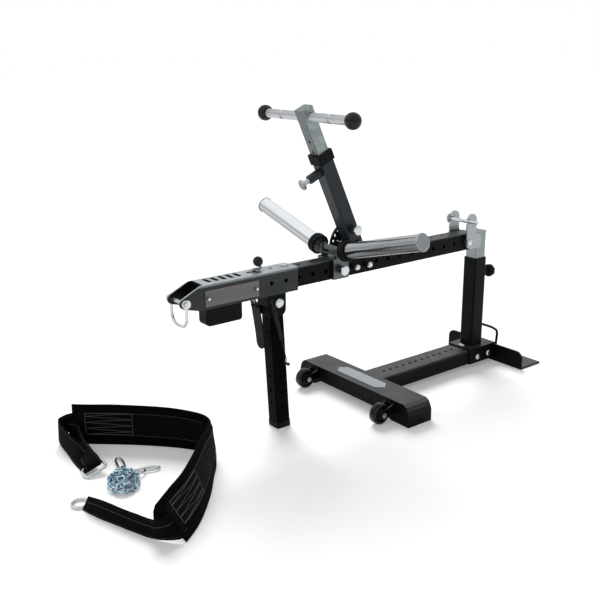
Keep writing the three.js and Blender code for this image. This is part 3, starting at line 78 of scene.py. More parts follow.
KNOB_XZ = (0, hinge_line("knob_turn")[1])
HORN_ROOT, HORN_TIP = (54, -503.5, 513), (360, -491, 593)  # on the right; the left one is mirrored
SIDES = {"left": -1, "right": 1}

# The mast's pieces are placed by their height up the leaning mast from its bolt
MAST_BOLT, MAST_LEAN = hinge_line("mast_tilt"), forward_lean("mast_height")
BAR_UP, HEIGHT_PIN_UP, ANGLE_PIN_UP = 429, 264, 60


def place(x, y, z):
    """A point in millimetres from the arm's first hole, in the part's frame in metres."""
    return Vector((x, y - ORIGIN_Y, z)) / 1000


# Camera, fitted to the photograph: angles in radians, places in metres, picture sizes in pixels

AZIMUTH, ELEVATION, ROLL = 0.9142931, 0.2924467, -0.0074173
DISTANCE = 2.46858
TARGET = (0.00655, -0.89522, 0.38065)
PICTURE, FOCAL_LENGTH = 600, 843.163
CENTRE = (300.777, 298.962)
SENSOR = 36  # millimetres


def make_camera():
    data = bpy.data.cameras.new("camera")
    data.sensor_width = SENSOR
    data.lens = SENSOR * (FOCAL_LENGTH / PICTURE)
    data.shift_x = (PICTURE / 2 - CENTRE[0]) / PICTURE
    data.shift_y = (CENTRE[1] - PICTURE / 2) / PICTURE
    camera = bpy.data.objects.new("camera", data)
    bpy.context.scene.collection.objects.link(camera)
    level = math.cos(ELEVATION)
    back = Vector((math.sin(AZIMUTH) * level, -math.cos(AZIMUTH) * level, math.sin(ELEVATION)))
    right = Vector((math.cos(AZIMUTH), math.sin(AZIMUTH), 0))
    up = back.cross(right)
    turned_right = right * math.cos(ROLL) + up * math.sin(ROLL)
    turned_up = up * math.cos(ROLL) - right * math.sin(ROLL)
    matrix = Matrix((turned_right, turned_up, back)).transposed().to_4x4()
    matrix.translation = Vector(TARGET) + back * DISTANCE
    camera.matrix_world = matrix
    bpy.context.scene.camera = camera


make_camera()
bpy.context.scene.view_settings.view_transform = "Standard"


# Materials

class Shader:
    """A principled material in object coordinates, with helpers for its texture nodes."""

    def __init__(self, name, color, roughness, metallic=0.0):
        self.material = bpy.data.materials.new(name)
        self.material.use_nodes = True
        self.tree = self.material.node_tree
        self.base = self.tree.nodes["Principled BSDF"]
        self.color = (*color, 1)
        self.last_bump = None
        self.set("Base Color", self.color)
        self.set("Roughness", roughness)
        self.set("Metallic", metallic)

    def set(self, socket, value):
        self.base.inputs[socket].default_value = value

    def add(self, kind, **values):
        node = self.tree.nodes.new(kind)
        for name, value in values.items():
            setattr(node, name, value)
        return node

    def link(self, out, into):
        self.tree.links.new(out, into)

    def coordinates(self, stretch=(1, 1, 1), turn=(0, 0, 0)):
        source = self.add("ShaderNodeTexCoord")
        mapping = self.add("ShaderNodeMapping")
        mapping.inputs["Scale"].default_value = stretch
        mapping.inputs["Rotation"].default_value = turn
        self.link(source.outputs["Object"], mapping.inputs["Vector"])
        return mapping.outputs["Vector"]

    def noise(self, scale, detail=3, stretch=(1, 1, 1)):
        node = self.add("ShaderNodeTexNoise")
        node.inputs["Scale"].default_value = scale
        node.inputs["Detail"].default_value = detail
        self.link(self.coordinates(stretch), node.inputs["Vector"])
        return node.outputs["Fac"]

    def wave(self, scale, stretch=(1, 1, 1), turn=(0, 0, 0), direction="X"):
        node = self.add("ShaderNodeTexWave", bands_direction=direction)
        node.inputs["Scale"].default_value = scale
        self.link(self.coordinates(stretch, turn), node.inputs["Vector"])
        return node.outputs["Fac"]

    def math(self, operation, a, b):
        node = self.add("ShaderNodeMath", operation=operation)
        for socket, value in zip(node.inputs, (a, b)):
            if isinstance(value, (int, float)):
                socket.default_value = value
            else:
                self.link(value, socket)
        return node.outputs[0]

    def spread(self, value, low, high, start=0.3, end=0.7):
        """The value's stretch from start to end, brought to low and high."""
        node = self.add("ShaderNodeMapRange")
        for name, number in (("From Min", start), ("From Max", end), ("To Min", low), ("To Max", high)):
            node.inputs[name].default_value = number
        self.link(value, node.inputs["Value"])
        return node.outputs["Result"]

    def bump(self, height, strength, distance):
        """Relief in metres, on top of the relief given before."""
        node = self.add("ShaderNodeBump")
        node.inputs["Strength"].default_value = strength
        node.inputs["Distance"].default_value = distance
        self.link(height, node.inputs["Height"])
        if self.last_bump is not None:
            self.link(self.last_bump, node.inputs["Normal"])
        self.last_bump = node.outputs["Normal"]
        self.link(self.last_bump, self.base.inputs["Normal"])

    def facing(self, start=0.85, end=-0.75):
        """0 where the surface's upward share is at the start, 1 where it is at the end."""
        node = self.add("ShaderNodeNewGeometry")
        split = self.add("ShaderNodeSeparateXYZ")
        self.link(node.outputs["Normal"], split.inputs[0])
        return self.spread(split.outputs["Z"], 0, 1, start, end)

    def vary_color(self, mask, other, amount):
        node = self.add("ShaderNodeMix", data_type="RGBA")
        node.inputs["A"].default_value = self.color
        node.inputs["B"].default_value = (*other, 1)
        self.link(self.math("MULTIPLY", mask, amount), node.inputs["Factor"])
        self.link(node.outputs["Result"], self.base.inputs["Base Color"])

    def vary_roughness(self, mask, low, high):
        self.link(self.spread(mask, low, high), self.base.inputs["Roughness"])


def scaled(color, share):
    return tuple(c * share for c in color)


def powder_coat(name="powder_coat", color=(0.0036, 0.0046, 0.006), upright=0.07, level=0.95):
    """Satin black that mirrors more on level faces than on upright ones."""
    s = Shader(name, color, 0.42)
    mirror = s.spread(s.facing(start=0.9, end=0.25), level, upright, 0, 1)
    s.link(mirror, s.base.inputs["Specular IOR Level"])
    s.bump(s.noise(1400, detail=2), strength=0.16, distance=0.0003)
    s.vary_roughness(s.noise(16, detail=4), 0.36, 0.5)
    s.vary_color(s.noise(9, detail=4), scaled(color, 1.6), amount=0.6)
    return s.material


def raw_steel(name="raw_steel", color=(0.6, 0.635, 0.645), cloud_and_shade_tone=(0.054, 0.06, 0.061)):
    """Brushed bare steel with clouds of another tone, and painted shade in that tone on its upright faces, so that
    its level tops stay lighter.
    """
    s = Shader(name, color, 0.36, metallic=1.0)
    streaks = s.noise(90, stretch=(1, 0.06, 1))
    clouds = s.spread(s.noise(22, detail=4), 0, 0.3, start=0.35, end=0.65)
    # painted shade: besides the clouds, the upright and downward faces take the darker tone
    dark = s.math("MAXIMUM", clouds, s.facing(start=0.85, end=0.15))
    s.vary_color(dark, scaled(cloud_and_shade_tone, 0.36), amount=0.97)
    s.vary_roughness(streaks, 0.3, 0.48)
    s.bump(streaks, strength=0.12, distance=0.0002)
    return s.material


def zinc(name="zinc_plate", color=(0.33, 0.37, 0.375), roughness=0.34, painted_shade_facing=(0.85, -0.75)):
    """Dull mottled zinc, with painted shade that darkens it as its faces turn down."""
    s = Shader(name, color, roughness, metallic=1.0)
    mottled = s.spread(s.noise(60, detail=5), 0, 0.4, start=0.4, end=0.6)
    # painted shade: darker as the faces turn down, on top of the zinc's own mottling
    dark = s.math("MAXIMUM", mottled, s.facing(*painted_shade_facing))
    s.vary_color(dark, scaled(color, 0.35), amount=0.8)
    s.vary_roughness(s.noise(120), roughness - 0.08, roughness + 0.12)
    s.bump(s.noise(500, detail=2), strength=0.1, distance=0.0002)
    return s.material


def chrome(name="chrome", color=(0.68, 0.7, 0.72), painted_underside_shade=(0.085, 0.09, 0.095)):
    """Bright plating, drawn out along x, with painted shade and dark reflection where it turns down."""
    s = Shader(name, color, 0.2, metallic=1.0)
    s.vary_roughness(s.noise(40, detail=4, stretch=(0.15, 1, 1)), 0.15, 0.26)
    # painted shade and dark reflection on the faces that turn down
    s.vary_color(s.facing(), painted_underside_shade, amount=0.97)
    s.bump(s.noise(300, detail=2, stretch=(0.1, 1, 1)), strength=0.05, distance=0.0001)
    return s.material


def knurl():
    s = Shader("knurled_chrome", (0.62, 0.63, 0.65), 0.36, metallic=1.0)
    grooves = [s.wave(260, stretch=(1, 0.7, 0.7), turn=(0, 0, turn)) for turn in (0.8, -0.8)]
    crossing = s.math("MULTIPLY", *grooves)
    s.bump(crossing, strength=0.5, distance=0.0005)
    # painted shade: the knurl's grooves are darker than its ridges
    s.vary_color(s.spread(crossing, 1, 0, start=0.0, end=0.5), (0.3, 0.31, 0.32), amount=0.6)
    return s.material


def fastener():
    s = Shader("bright_zinc", (0.66, 0.68, 0.69), 0.24, metallic=1.0)
    s.vary_roughness(s.noise(200), 0.16, 0.36)
    s.vary_color(s.noise(130), (0.48, 0.51, 0.52), amount=0.7)
    s.bump(s.noise(600, detail=2), strength=0.08, distance=0.0001)
    return s.material


def dark_steel():
    s = Shader("dark_steel", (0.035, 0.036, 0.038), 0.42, metallic=0.7)
    s.vary_roughness(s.noise(200), 0.32, 0.55)
    s.vary_color(s.noise(90), (0.07, 0.07, 0.072), amount=0.6)
    s.bump(s.noise(700, detail=2), strength=0.1, distance=0.0001)
    return s.material


def weld_steel():
    s = Shader("weld_steel", (0.5, 0.52, 0.53), 0.32, metallic=1.0)
    s.vary_color(s.noise(160, detail=4), (0.2, 0.21, 0.23), amount=0.8)
    s.vary_roughness(s.noise(240), 0.22, 0.5)
    s.bump(s.noise(330), strength=0.5, distance=0.0008)
    return s.material


def gloss_black():
    s = Shader("gloss_black", (0.006, 0.0065, 0.0075), 0.1)
    s.set("Coat Weight", 0.1)
    s.set("Coat Roughness", 0.05)
    s.set("Specular IOR Level", 0.22)
    s.vary_roughness(s.noise(70), 0.06, 0.16)
    s.bump(s.noise(30, detail=2), strength=0.03, distance=0.0003)
    return s.material


def rubber():
    s = Shader("black_rubber", (0.0075, 0.008, 0.009), 0.62)
    s.set("Specular IOR Level", 0.1)
    s.vary_roughness(s.noise(50, detail=4), 0.5, 0.72)
    s.vary_color(s.noise(30, detail=4), (0.013, 0.0135, 0.0145), amount=0.7)
    s.bump(s.noise(900, detail=2), strength=0.25, distance=0.0003)
    return s.material


def belt_fabric():
    """Coarse black cloth: a weave, and soft dents over its padding."""
    s = Shader("belt_fabric", (0.0026, 0.003, 0.0036), 0.88)
    s.set("Specular IOR Level", 0.04)
    warp = s.wave(430, stretch=(1, 0.2, 0.2))
    weft = s.wave(430, stretch=(0.2, 0.2, 1), direction="Z")
    s.bump(s.math("ADD", warp, weft), strength=0.3, distance=0.0004)
    s.bump(s.noise(45, detail=4), strength=0.35, distance=0.0012)
    s.vary_color(s.noise(14, detail=5), (0.0046, 0.005, 0.006), amount=0.8)
    return s.material


def webbing():
    s = Shader("webbing", (0.0026, 0.0028, 0.0034), 0.8)
    s.set("Specular IOR Level", 0.06)
    s.bump(s.wave(520, stretch=(1, 1, 0.1), turn=(0, 0, 0.6)), strength=0.45, distance=0.0005)
    s.vary_color(s.noise(60, detail=4), (0.006, 0.006, 0.007), amount=0.8)
    return s.material


def thread():
    s = Shader("grey_thread", (0.16, 0.165, 0.18), 0.6)
    s.bump(s.wave(900), strength=0.4, distance=0.0003)
    s.vary_color(s.noise(200), (0.09, 0.095, 0.105), amount=0.7)
    return s.material


def chain_zinc():
    """Blue-passivated zinc with dark blue stains."""
    s = Shader("chain_zinc", (0.6, 0.77, 0.85), 0.2, metallic=1.0)
    stains = s.spread(s.noise(70), 0, 1, start=0.4, end=0.62)
    s.vary_color(stains, (0.07, 0.16, 0.25), amount=0.9)
    s.vary_roughness(s.noise(150), 0.14, 0.32)
    s.bump(s.noise(500, detail=2), strength=0.06, distance=0.0001)
    return s.material


MATERIALS = {
    "frame_black": powder_coat(),
    "raw_steel": raw_steel(),
    "zinc": zinc(),
    "chrome": chrome(),
    "fastener": fastener(),
    "spring_dark": dark_steel(),
    "gloss_black": gloss_black(),
    "rubber_black": rubber(),
    "belt_fabric": belt_fabric(),
    "chain_zinc": chain_zinc(),
}
KNURL, WELD, WEB, THREAD = knurl(), weld_steel(), webbing(), thread()

# Nodes whose material differs from the rest of their slot. The mast's and the leg's coats and the two horns'
# chromes are lit and shaded copies of one material: painted light and shade.
OWN = {
    "nameplate": raw_steel("plate_steel", (0.4, 0.385, 0.37), (0.34, 0.327, 0.314)),
    # painted light: the mast's coat is a brighter, bluer copy of the frame's black
    "mast_tube": powder_coat("mast_coat_painted_light", (0.0115, 0.018, 0.0255), upright=0.32, level=0.7),
    "mast_inner_tube": zinc("mast_zinc", (0.3, 0.34, 0.34), 0.4, painted_shade_facing=(-0.02, -0.38)),
    # painted shade: the leg's coat is a darker copy of the frame's black
    "leg_tube": powder_coat("leg_coat_painted_shade", (0.0024, 0.003, 0.0038), upright=0.02, level=0.4),
    "spring_eye_bolt": MATERIALS["spring_dark"],
    "horn_saddle": zinc("saddle_zinc", (0.15, 0.17, 0.175)),
    "pivot_bracket": zinc("bracket_zinc", (0.46, 0.5, 0.51)),
    # painted light and shade: the far horn's chrome is a brighter copy and the near horn's a darker copy
    "horn_left": chrome("far_chrome_painted_light", (0.88, 0.9, 0.92)),
    "horn_right": chrome("near_chrome_painted_shade", (0.5, 0.515, 0.53), painted_underside_shade=(0.065, 0.07, 0.075)),
}
BADGE = raw_steel("badge_steel", (0.5, 0.51, 0.52), cloud_and_shade_tone=(1.2, 1.22, 1.24))
SLOT = {item["node"]: item["material_slot"] for item in frame["record"]["subparts"]}
BODY = {name: body for body, names in frame["record"]["behaviour"]["bodies"].items() for name in names}


def finish_of(node):
    return OWN.get(node) or MATERIALS[SLOT[node]]


def soften(made, sharp, width, limit):
    """Smooth shading up to an angle in degrees, and a bevel in metres on edges past the limit."""
    made.data.shade_smooth()
    made.data.set_sharp_from_angle(angle=math.radians(sharp))
    if width:
        bevel = made.modifiers.new("bevel", "BEVEL")
        bevel.width, bevel.segments = width, 2
        bevel.limit_method, bevel.angle_limit = "ANGLE", math.radians(limit)


def dress_nodes():
    """Material and soft edges for the CAD nodes; the cloth and the chain keep their edges."""
    for name, node in frame["nodes"].items():
        node.data.materials.clear()
        node.data.materials.append(finish_of(name))
        width = 0 if SLOT[name] in ("belt_fabric", "chain_zinc") else 0.0011
        soften(node, sharp=50, width=width, limit=52)


# Smooth pieces in place of the faceted ones. Their data is a pair: vertices and faces.

def shape(name, data, nodes=(), body=None, material=None, sharp=38, bevel=0.0):
    """A mesh in metres that moves with a body and stands for the given CAD nodes."""
    vertices, faces = data
    mesh = bpy.data.meshes.new(name)
    mesh.from_pydata([tuple(v) for v in vertices], [], faces)
    mesh.update()
    made = bpy.data.objects.new(name, mesh)
    bpy.context.scene.collection.objects.link(made)
    mesh.materials.append(material or finish_of(nodes[0]))
    soften(made, sharp, bevel, sharp + 4)
    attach(made, body or BODY[nodes[0]])
    if nodes:
        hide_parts(*nodes)
    return made


def mast(x, u, v):
    """A point of the mast: u towards the rear and v up from its bolt, in the mast's own lean."""
    y, z = MAST_BOLT
    cos, sin = math.cos(math.radians(MAST_LEAN)), math.sin(math.radians(MAST_LEAN))
    return place(x, y + u * cos - v * sin, z + u * sin + v * cos)


AXES = {"x": lambda w, u, v: (w, u, v), "y": lambda w, u, v: (u, w, v), "z": lambda w, u, v: (u, v, w)}


def on_axis(axis, at, frame_of=place):
    """point(w, a, b): a distance along a line parallel to an axis, and two offsets from the line."""
    order = AXES[axis]

    def point(w, a, b):
        return frame_of(*order(w, at[0] + a, at[1] + b))

    return point


def circle(steps):
    return [2 * math.pi * i / steps for i in range(steps)]


def between(low, high, share):
    return low + (high - low) * share


def round_faces(rows, count, closed=False):
    """Faces between rows of points that run round, with a cap at each end unless the rows close."""
    faces = []
    for i in range(rows if closed else rows - 1):
        a, b = i * count, ((i + 1) % rows) * count
        faces += [(a + k, a + (k + 1) % count, b + (k + 1) % count, b + k) for k in range(count)]
    if not closed:
        faces += [tuple(reversed(range(count))), tuple(range((rows - 1) * count, rows * count))]
    return faces


def lathe_data(profile, point, sides=56):
    """A turned shape from its (radius, distance) outline; point(w, a, b) puts it in place."""
    vertices, faces, rows = [], [], []
    for radius, distance in profile:
        if radius == 0:
            rows.append([len(vertices)])
            vertices.append(point(distance, 0, 0))
            continue
        rows.append(list(range(len(vertices), len(vertices) + sides)))
        for angle in circle(sides):
            vertices.append(point(distance, radius * math.cos(angle), radius * math.sin(angle)))
    for low, high in zip(rows, rows[1:]):
        for i in range(sides):
            j = (i + 1) % sides
            ring = [low[i % len(low)], low[j % len(low)], high[j % len(high)], high[i % len(high)]]
            faces.append(tuple(dict.fromkeys(ring)))
    return vertices, faces


def lathe(name, axis, at, profile, frame_of=place, sides=56, bevel=0.0006):
    """A turned piece that stands for the CAD node of its name."""
    shape(name + "_smooth", lathe_data(profile, on_axis(axis, at, frame_of), sides), (name,), bevel=bevel)


def trim(name, axis, at, profile, material, body, frame_of=place, sides=56):
    """A turned piece that only the scene has."""
    data = lathe_data(profile, on_axis(axis, at, frame_of), sides)
    shape(name + "_smooth", data, (), body, material, bevel=0.0006)


def spread_along(points, steps):
    """A Catmull-Rom line through points, as an array of even parameter steps."""
    pts = np.array(points, float)
    last = len(pts) - 1
    out = []
    for k in range(steps + 1):
        t = k / steps * last
        i = min(int(t), last - 1)
        f = t - i
        a, b, c, d = pts[[min(max(i + d, 0), last) for d in (-1, 0, 1, 2)]]
        bend, sweep = 2 * a - 5 * b + 4 * c - d, 3 * b - a - 3 * c + d
        out.append(0.5 * (2 * b + (c - a) * f + bend * f * f + sweep * f ** 3))
    return np.array(out)


def tube_data(points, radius, closed=False, sides=14):
    """A round tube along points in metres."""
    pts = np.array(points, float)
    count = len(pts)
    vertices = []
    side = None
    for i in range(count):
        before = pts[i - 1] if closed or i else pts[i]
        after = pts[(i + 1) % count] if closed or i + 1 < count else pts[i]
        run = (after - before) / np.linalg.norm(after - before)
        if side is None:
            side = np.cross(run, (0.31, 0.17, 0.93))  # any direction that no tube starts along
        side = side - run * side.dot(run)
        side = side / np.linalg.norm(side)
        up = np.cross(run, side)
        for angle in circle(sides):
            vertices.append(pts[i] + radius * (side * math.cos(angle) + up * math.sin(angle)))
    return vertices, round_faces(count, sides, closed)


def rod_data(points, radius, steps, sides):
    """A bent round bar through points in metres; the radius is in millimetres."""
    return tube_data(spread_along(points, steps), radius / 1000, sides=sides)


def together(parts):
    vertices, faces = [], []
    for more_vertices, more_faces in parts:
        shift = len(vertices)
        vertices += list(more_vertices)
        faces += [tuple(shift + i for i in face) for face in more_faces]
    return vertices, faces


def sphere_profile(radius, centre, rows=28):
    angles = [math.pi * i / rows for i in range(rows + 1)]
    radii = [0] + [radius * math.sin(a) for a in angles[1:-1]] + [0]
    return [(r, centre - radius * math.cos(a)) for r, a in zip(radii, angles)]


def collar(inner, outer, low, high):
    """The outline of a ring with a bore."""
    return [(inner, low), (outer, low), (outer, high), (inner, high), (inner, low)]


def plug(radius, low, high):
    """The outline of a solid cylinder."""
    return [(0, low), (radius, low), (radius, high), (0, high)]


def dome(face, radius, height, outward=1):
    """A pan-shaped bolt head that stands on a face."""
    shares = [(1, 0), (1, 0.25), (0.96, 0.5), (0.84, 0.74), (0.6, 0.92), (0.3, 0.99), (0, 1)]
    return [(radius * r, face + outward * height * h) for r, h in shares]


def make_wheels():
    """The two wheels: a round tread on a sunk web and a hub with a bore."""
    half = [(32.5, 8), (31.3, 11), (29, 12.6), (26, 13), (23, 12), (19, 10), (14, 10), (14, 14), (4.5, 14)]
    profile = [(r, -w) for r, w in half[::-1]] + half + [(4.5, -14)]
    for name, side in SIDES.items():
        outline = [(r, w + side * WHEEL_X) for r, w in profile]
        lathe(f"wheel_{name}", "x", WHEEL_AXLE, outline, sides=72)


def make_bar():
    """The handle bar: knurled grips on a smooth core, two bands, end balls and welds at the mast."""
    at, above = (0, BAR_UP), (0, BAR_UP + 2.4)
    core, knurled, ball, weld, bead = 13, 13.3, 23.5, 14.2, 1.8  # radii
    half_core, band_x, ball_x, weld_x = 177, 107, 196, 21
    grips = [(-178, -111), (-103, -22), (22, 103), (111, 178)]
    data = together([lathe_data(plug(knurled, *grip), on_axis("x", at, mast)) for grip in grips])
    shape("handle_bar_knurled", data, ("handle_bar",), material=KNURL, bevel=0.0008)
    bright = MATERIALS["chrome"]
    trim("handle_bar_core", "x", at, plug(core, -half_core, half_core), bright, "mast_upper", mast)
    band = [(core, -4), (core + 1, -3), (core + 1, 3), (core, 4)]
    for name, side in SIDES.items():
        outline = [(r, side * band_x + w) for r, w in band]
        trim(f"bar_band_{name}", "x", at, outline, bright, "mast_upper", mast)
        outline = sphere_profile(ball, side * ball_x)
        lathe(f"handle_ball_{name}", "x", at, outline, mast, sides=64, bevel=0)
        weld_ring(f"bar_weld_{name}", on_axis("x", above, mast), side * weld_x, weld, bead, "mast_upper")


def weld_ring(name, point, w, radius, bead, body):
    """A rippled bead around a round piece, at a distance w along its line."""
    steps, ripples, depth = 72, 23, 0.5
    line = []
    for angle in circle(steps):
        r = radius + depth * math.sin(angle * ripples)
        line.append(point(w, r * math.cos(angle), r * math.sin(angle)))
    shape(name, tube_data(line, bead / 1000, True, 10), (), body, WELD)


def make_pins():
    """The three pop pins and the stop pin."""
    lathe("height_pin", "y", (0, HEIGHT_PIN_UP), [
        (0, -97), (9, -97), (14, -96.2), (16.4, -94.6), (17, -92.6), (16.2, -90.4), (11, -88.6),
        (7.4, -88), (7, -87), (7, -66.3), (4.5, -66.3), (4.5, -20.3), (0, -20.3),
    ], mast)
    head = [(8.25, 0), (8.25, 2), (13.6, 2.6), (15, 4), (15, 7.2), (14, 8.6), (10.5, 9.6), (0, 9.7)]
    angle_face, saddle_face = 42.3, 50.3
    shank = [(0, -23), (5, -23), (5, 38.3), (7.5, 38.3), (7.5, 43)]
    lathe("angle_pin", "x", (0, ANGLE_PIN_UP), shank + [(r, angle_face + w) for r, w in head], mast)
    shank = [(0, 29.3), (5, 29.3), (5, saddle_face)]
    lathe("saddle_pin", "x", SADDLE_PIN, shank + [(r, saddle_face + w) for r, w in head])
    lathe("stop_pin", "x", STOP_PIN, [
        (0, -47.8), (12, -47.8), (15.4, -46.8), (16.5, -45), (16.5, -41.8),
        (6, -41.8), (6, 77), (4.8, 79), (0, 79),
    ])


def make_horns():
    """The two weight horns with their end discs and ribbed collars."""
    grip = [
        (24.3, 0), (28, 0), (30, 1.2), (31, 4), (31, 8), (29.8, 10.5), (29.8, 14.5), (31, 17), (31, 22),
        (30, 25), (28, 26), (24.3, 26), (24.3, 0),
    ]
    end_disc = [
        (24, -6), (25.2, -5.6), (26, -4.8), (26, -1.6), (25.2, -0.5),
        (23.6, 0), (21.5, 0), (21.1, -0.5), (0, -0.5),
    ]
    for name, side in SIDES.items():
        root, tip = (Vector((side * x, y, z)) for x, y, z in (HORN_ROOT, HORN_TIP))
        run = tip - root
        length = run.length
        run.normalize()
        across = run.cross(Vector((0, 1, 0))).normalized()
        up = across.cross(run)

        def point(w, a, b):
            return place(*(root + run * w + across * a + up * b))

        outline = [(0, 0), (24, 0)] + [(r, length + w) for r, w in end_disc]
        shape(f"horn_{name}_smooth", lathe_data(outline, point, 72), (f"horn_{name}",), sharp=42)
        collar_name = f"horn_collar_{name}"
        shape(collar_name + "_smooth", lathe_data(grip, point, 64), (collar_name,), sharp=42, bevel=0.0004)


def make_knob():
    """A hand knob with seven lobes on its threaded stem."""
    start, end, radius = 205, 232, 22
    rows = [
        (0.0, 0.62), (0.06, 0.82), (0.2, 0.97), (0.35, 1), (0.65, 1), (0.82, 0.95), (0.93, 0.84), (1, 0.62),
    ]
    steps, lobes, depth = 98, 7, 0.13
    point = on_axis("y", KNOB_XZ)
    vertices = []
    for share, size in rows:
        for angle in circle(steps):
            r = radius * size * (1 - depth * max(0, math.cos(lobes * angle)) ** 3)
            vertices.append(point(between(start, end, share), r * math.cos(angle), r * math.sin(angle)))
    grip = vertices, round_faces(len(rows), steps)
    stem = [(0, 165.8), (5, 165.8), (5, 183.8), (9, 183.8), (9, 205.5), (0, 205.5)]
    data = together([grip, lathe_data(stem, point)])
    shape("height_knob_smooth", data, ("height_knob",), sharp=40, bevel=0.0005)


def bolt(name, axis, at, face, head, shank, nut):
    """A domed bolt.

    Its head stands on the face: (radius, height). Its shank is (radius, far end), and its
    hexagon nut (face, radius, height).
    """
    point = on_axis(axis, at)
    direction = 1 if face > shank[1] else -1
    parts = [
        lathe_data([(0, face)] + dome(face, *head, direction), point),
        lathe_data(plug(shank[0], shank[1], face), point),
        lathe_data(plug(nut[1], nut[0], nut[0] - direction * nut[2]), point, 6),
    ]
    shape(name + "_smooth", together(parts), (name,), sharp=30, bevel=0.0005)


def make_bolts():
    bolt("pivot_bolt", "x", PIVOT, 41.8, head=(11, 6), shank=(7, -47.8), nut=(-41.8, 11, 6))
    bolt("leg_hinge_bolt", "x", LEG_HINGE, 27.8, head=(14.5, 6), shank=(6.5, -35.8), nut=(-27.8, 12, 8))
    bolt("head_bolt", "z", HEAD_BOLT_XY, 490, head=(11, 7), shank=(6, 409), nut=(417.7, 11, 8))
    for name, at in BRACKET_BOLTS.items():
        bolt(name, "x", at, 50.2, head=(10, 6), shank=(5, -56.2), nut=(-50.2, 10, 6))


def make_trim():
    """Bright heads over the bracket bolts, the plate's rivets and the bare badge on the front foot."""
    metal = MATERIALS["fastener"]
    head = [(0, 41), (8.8, 41), (8.8, 51), (8, 54), (5, 56), (0, 56.4)]
    for name, side in SIDES.items():
        for y in BRACKET_HEADS_Y:
            outline = [(r, side * w) for r, w in head]
            trim(f"bracket_head_{y}_{name}", "x", (y, ARM_Z), outline, metal, "arm", sides=32)
    rivet = [(4.4, 39)] + dome(41.2, 4.4, 3.2)
    for y in PLATE_RIVETS_Y:
        trim(f"plate_rivet_{-y}", "x", (y, PLATE_Z), rivet, metal, "arm", sides=28)
    trim("bracket_top_head", "z", TOP_BOLT_XY, dome(70.6, 10.4, 7.4), metal, "base", sides=36)
    foot_y, low, high = -376, 67.6, 69.4
    outline = [(-114, 0), (-92, -24), (86, -24), (108, 0), (86, 24), (-92, 24)]
    vertices = [place(x, y + foot_y, z) for z in (low, high) for x, y in outline]
    rim = [(i, (i + 1) % 6, 6 + (i + 1) % 6, 6 + i) for i in range(6)]
    faces = [(5, 4, 3, 2, 1, 0), (6, 7, 8, 9, 10, 11)] + rim
    shape("foot_badge", (vertices, faces), (), "base", BADGE, sharp=30, bevel=0.0006)


def make_rods():
    """Bent round bars: the carry handle, the nose shackle and the release lever with its ball."""
    bar, lever = 4.5, 4  # radii
    line = [
        (175, 137), (205, 126), (245, 109), (266, 98), (281, 87),
        (286, 74), (284, 50), (282, 26), (281, 6.3),
    ]
    handle = rod_data([place(0, y, z) for y, z in line], bar, 60, 18)
    shape("carry_handle_smooth", handle, ("carry_handle",), sharp=50)

    y = NOSE_BOLT[0]
    half = [(39.6, 441), (39.6, 425), (39.2, 411), (36.5, 399), (30, 389.5), (18, 383), (0, 381)]
    loop = [place(x, y, z) for x, z in half] + [place(-x, y, z) for x, z in half[-2::-1]]
    parts = [rod_data(loop, bar, 72, 18)]
    for low, high in ((35, 44.1), (-44.1, -35)):
        parts.append(lathe_data(collar(5.6, 12, low, high), on_axis("x", NOSE_BOLT)))
    shape("nose_shackle_smooth", together(parts), ("nose_shackle",), sharp=40)

    upper = [
        (-797, 455), (-796, 475), (-795, 489), (-791, 494.5),
        (-780, 495), (-768, 495), (-764, 499), (-769, 507),
    ]
    lower = [(-797, 445), (-793, 428), (-786.5, 408), (-783.5, 396)]
    parts = [rod_data([place(0, y, z) for y, z in rod], lever, 48, 16) for rod in (upper, lower)]
    parts.append(lathe_data(collar(3.6, 7, -9, 9), on_axis("x", RELEASE_PIVOT)))
    shape("release_lever_smooth", together(parts), ("release_lever",), sharp=40)
    ball = lathe_data(sphere_profile(14.5, LEVER_BALL_Z), on_axis("z", LEVER_BALL_XY), 48)
    shape("lever_ball_smooth", ball, ("lever_ball",))


# Belt and chain on the floor; each station is a point on the lower edge and one on the upper edge

BAND = [
    ((-266, -1241, 0.6), (-266, -1241, 122)), ((-232, -1205, 0.6), (-232, -1205, 122)),
    ((-190, -1156, 0.6), (-190, -1156, 123)), ((-139, -1100, 0.6), (-139, -1100, 122)),
    ((-80, -1043, 0.6), (-80, -1043, 121)), ((-30, -1003, 0.6), (-30, -1003, 118)),
    ((16, -978, 0.6), (16, -978, 114)), ((60, -976, 0.6), (58.1, -983.7, 112.7)),
    ((106, -1000, 0.6), (96.2, -1015.3, 114.6)), ((150, -1034, 0.6), (133.7, -1055.3, 116)),
    ((225, -1091, 0.6), (201.1, -1119.8, 115.1)), ((296, -1155, 0.6), (264.3, -1187.9, 113.1)),
    ((341, -1203, 0.6), (299.2, -1242.2, 107.7)), ((374, -1247, 0.6), (334, -1300, 98)),
]
STRAP_RIGHT = [
    ((352, -1226, 14), (330, -1256, 78)), ((366, -1256, 9), (344, -1284, 70)),
    ((337, -1286, 3), (324, -1300, 56)), ((299, -1308, 0.6), (298, -1299, 45)),
    ((262, -1322, 0.6), (264, -1310, 44)), ((219, -1338, 0.6), (224, -1324, 43)),
    ((157, -1360, 0.6), (158, -1343, 42)), ((92, -1377, 0.6), (103, -1363, 39)),
]
